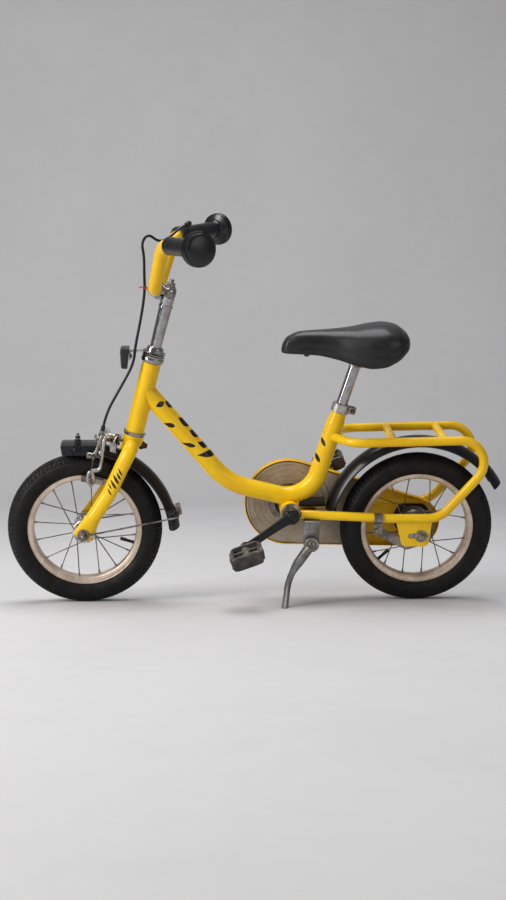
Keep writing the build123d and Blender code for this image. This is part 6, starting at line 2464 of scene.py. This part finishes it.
@dataclass(frozen=True)
class Studio:
    """The floor, the soft lights, the pale surroundings and the camera, in metres."""

    eye: Triple = (-0.1424, -2.7781, 0.4362)
    look: Triple = (0.0481, 0.9977, -0.0478)
    lens: float = 59.03
    half_wide: float = 8.0
    front: float = -6.0
    back: float = 2.4
    sweep: float = 1.2
    high: float = 5.0
    lamps: tuple[Lamp, ...] = (
        Lamp("key", (-2.9, -1.5, 1.7), (1.2, 2.6), 112.0, (1.0, 0.98, 0.96)),
        Lamp("fill", (2.2, -3.0, 1.4), (2.2, 2.2), 18.0, (1.0, 0.95, 0.9)),
        Lamp("top", (-0.2, 0.3, 3.2), (2.0, 2.0), 66.0, (0.97, 0.98, 1.0)),
    )

    def build(self) -> None:
        """Builds everything that isn't the bicycle."""
        self.floor()
        self.sky()
        for lamp in self.lamps:
            lamp.hang()
        self.camera()

    def floor(self) -> None:
        """Lays a broad pale floor that curves up into a wall."""
        profile = [(self.front, 0.0), (self.back, 0.0)]
        for step in range(1, 13):
            turn = math.pi / 2 * step / 12
            rise = self.sweep * (1.0 - math.cos(turn))
            profile.append((self.back + self.sweep * math.sin(turn), rise))
        profile.append((self.back + self.sweep, self.high))
        spots = [(x, y, z) for y, z in profile for x in (-self.half_wide, self.half_wide)]
        firsts = range(0, 2 * len(profile) - 2, 2)
        faces = [(first, first + 1, first + 3, first + 2) for first in firsts]
        mesh = bpy.data.meshes.new("floor")
        mesh.from_pydata(spots, [], faces)
        mesh.shade_smooth()
        mesh.materials.append(Ground("pale floor", (0, 0, 0), (0, 0, 0)).build())
        floor = bpy.data.objects.new("floor", mesh)
        bpy.context.scene.collection.objects.link(floor)

    def sky(self) -> None:
        """Surrounds the scene with an even pale light."""
        world = bpy.data.worlds.new("pale room")
        world.use_nodes = True
        background = world.node_tree.nodes["Background"]
        background.inputs["Color"].default_value = (0.93, 0.95, 1.0, 1.0)
        background.inputs["Strength"].default_value = 0.22
        bpy.context.scene.world = world
        bpy.context.scene.view_settings.view_transform = "Standard"

    def camera(self) -> None:
        """Stands the camera at the bicycle's left, a little ahead of its middle."""
        data = bpy.data.cameras.new("camera")
        data.lens = self.lens
        data.sensor_fit = "VERTICAL"
        data.sensor_height = 36.0
        data.clip_start = 0.05
        camera = bpy.data.objects.new("camera", data)
        camera.location = self.eye
        camera.rotation_euler = Vector(self.look).to_track_quat("-Z", "Y").to_euler()
        bpy.context.scene.collection.objects.link(camera)
        bpy.context.scene.camera = camera


def main() -> None:
    """Builds the bicycle and its studio."""
    logging.basicConfig(level=logging.INFO, format="%(message)s")
    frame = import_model()
    Studio().build()
    shop = Workshop.open(frame)
    look = Palette.mix(shop.stance.translation)
    kit = (shop, look)
    cable, stem, bar = Cable(*kit), Stem(*kit), Bar()
    left = Crank(*kit, name="crank_left", side=-1, boss_y=50.0, tip_y=69.0, turn=212.8)
    right = Crank(*kit, name="crank_right", side=1, boss_y=66.0, tip_y=78.0, turn=32.8)
    front_wheel = Wheel(
        *kit,
        name="front",
        centre_x=FRONT_X,
        body=Body.FRONT_WHEEL,
        hub_finish=look.alloy,
        spoke_phase=15.0,
        valve_angle=-18.0,
        hub_radius=14.0,
        flange_radius=23.0,
        flange_y=27.0,
        hub_left=41.6,
        hub_right=41.6,
    )
    rear_wheel = Wheel(
        *kit,
        name="rear",
        centre_x=0.0,
        body=Body.REAR_WHEEL,
        hub_finish=look.spoke,
        spoke_phase=8.7,
        valve_angle=223.0,
        hub_radius=24.0,
        flange_radius=32.0,
        flange_y=29.0,
        hub_left=54.0,
        hub_right=42.0,
    )
    front_nuts = AxleNuts(
        *kit,
        name="front_domed_nuts",
        replaced="front_axle_nuts",
        centre_x=FRONT_X,
        seat_y=53.0,
        washer=0.0,
        body=Body.STEERING,
        inner=((42.0, 45.0), (-42.0, -45.0)),
        stub=4.8,
        hexagon=7.9,
    )
    rear_nuts = AxleNuts(
        *kit,
        name="rear_domed_nuts",
        replaced="rear_axle_nuts",
        centre_x=0.0,
        seat_y=64.5,
        washer=2.0,
        body=Body.FRAME,
        inner=((42.4, 60.5), (-57.5, -54.4)),
        stub=7.0,
        hexagon=9.4,
    )
    assemblies: tuple[Assembly, ...] = (
        cable,
        front_wheel,
        rear_wheel,
        front_nuts,
        rear_nuts,
        PlainParts(*kit),
        Headset(*kit),
        stem,
        CableTie(*kit, stem.middle),
        Grips(*kit, bar),
        Lever(*kit, bar, cable),
        Caliper(*kit, cable),
        Reflector(*kit),
        FrontGuard(*kit),
        Saddle(*kit),
        SeatClamp(*kit),
        ChainCase(*kit),
        left,
        right,
        Pedal(*kit, "pedal_left", left, Body.PEDAL_LEFT, edge_finish=0),
        Pedal(*kit, "pedal_right", right, Body.PEDAL_RIGHT, edge_finish=1),
        SideStand(*kit),
        BottomBracket(*kit),
        BrakeArmBolt(*kit),
    )
    for assembly in assemblies:
        LOG.info("building the %s", type(assembly).__name__)
        assembly.build()


if __name__ == "__main__":
    main()
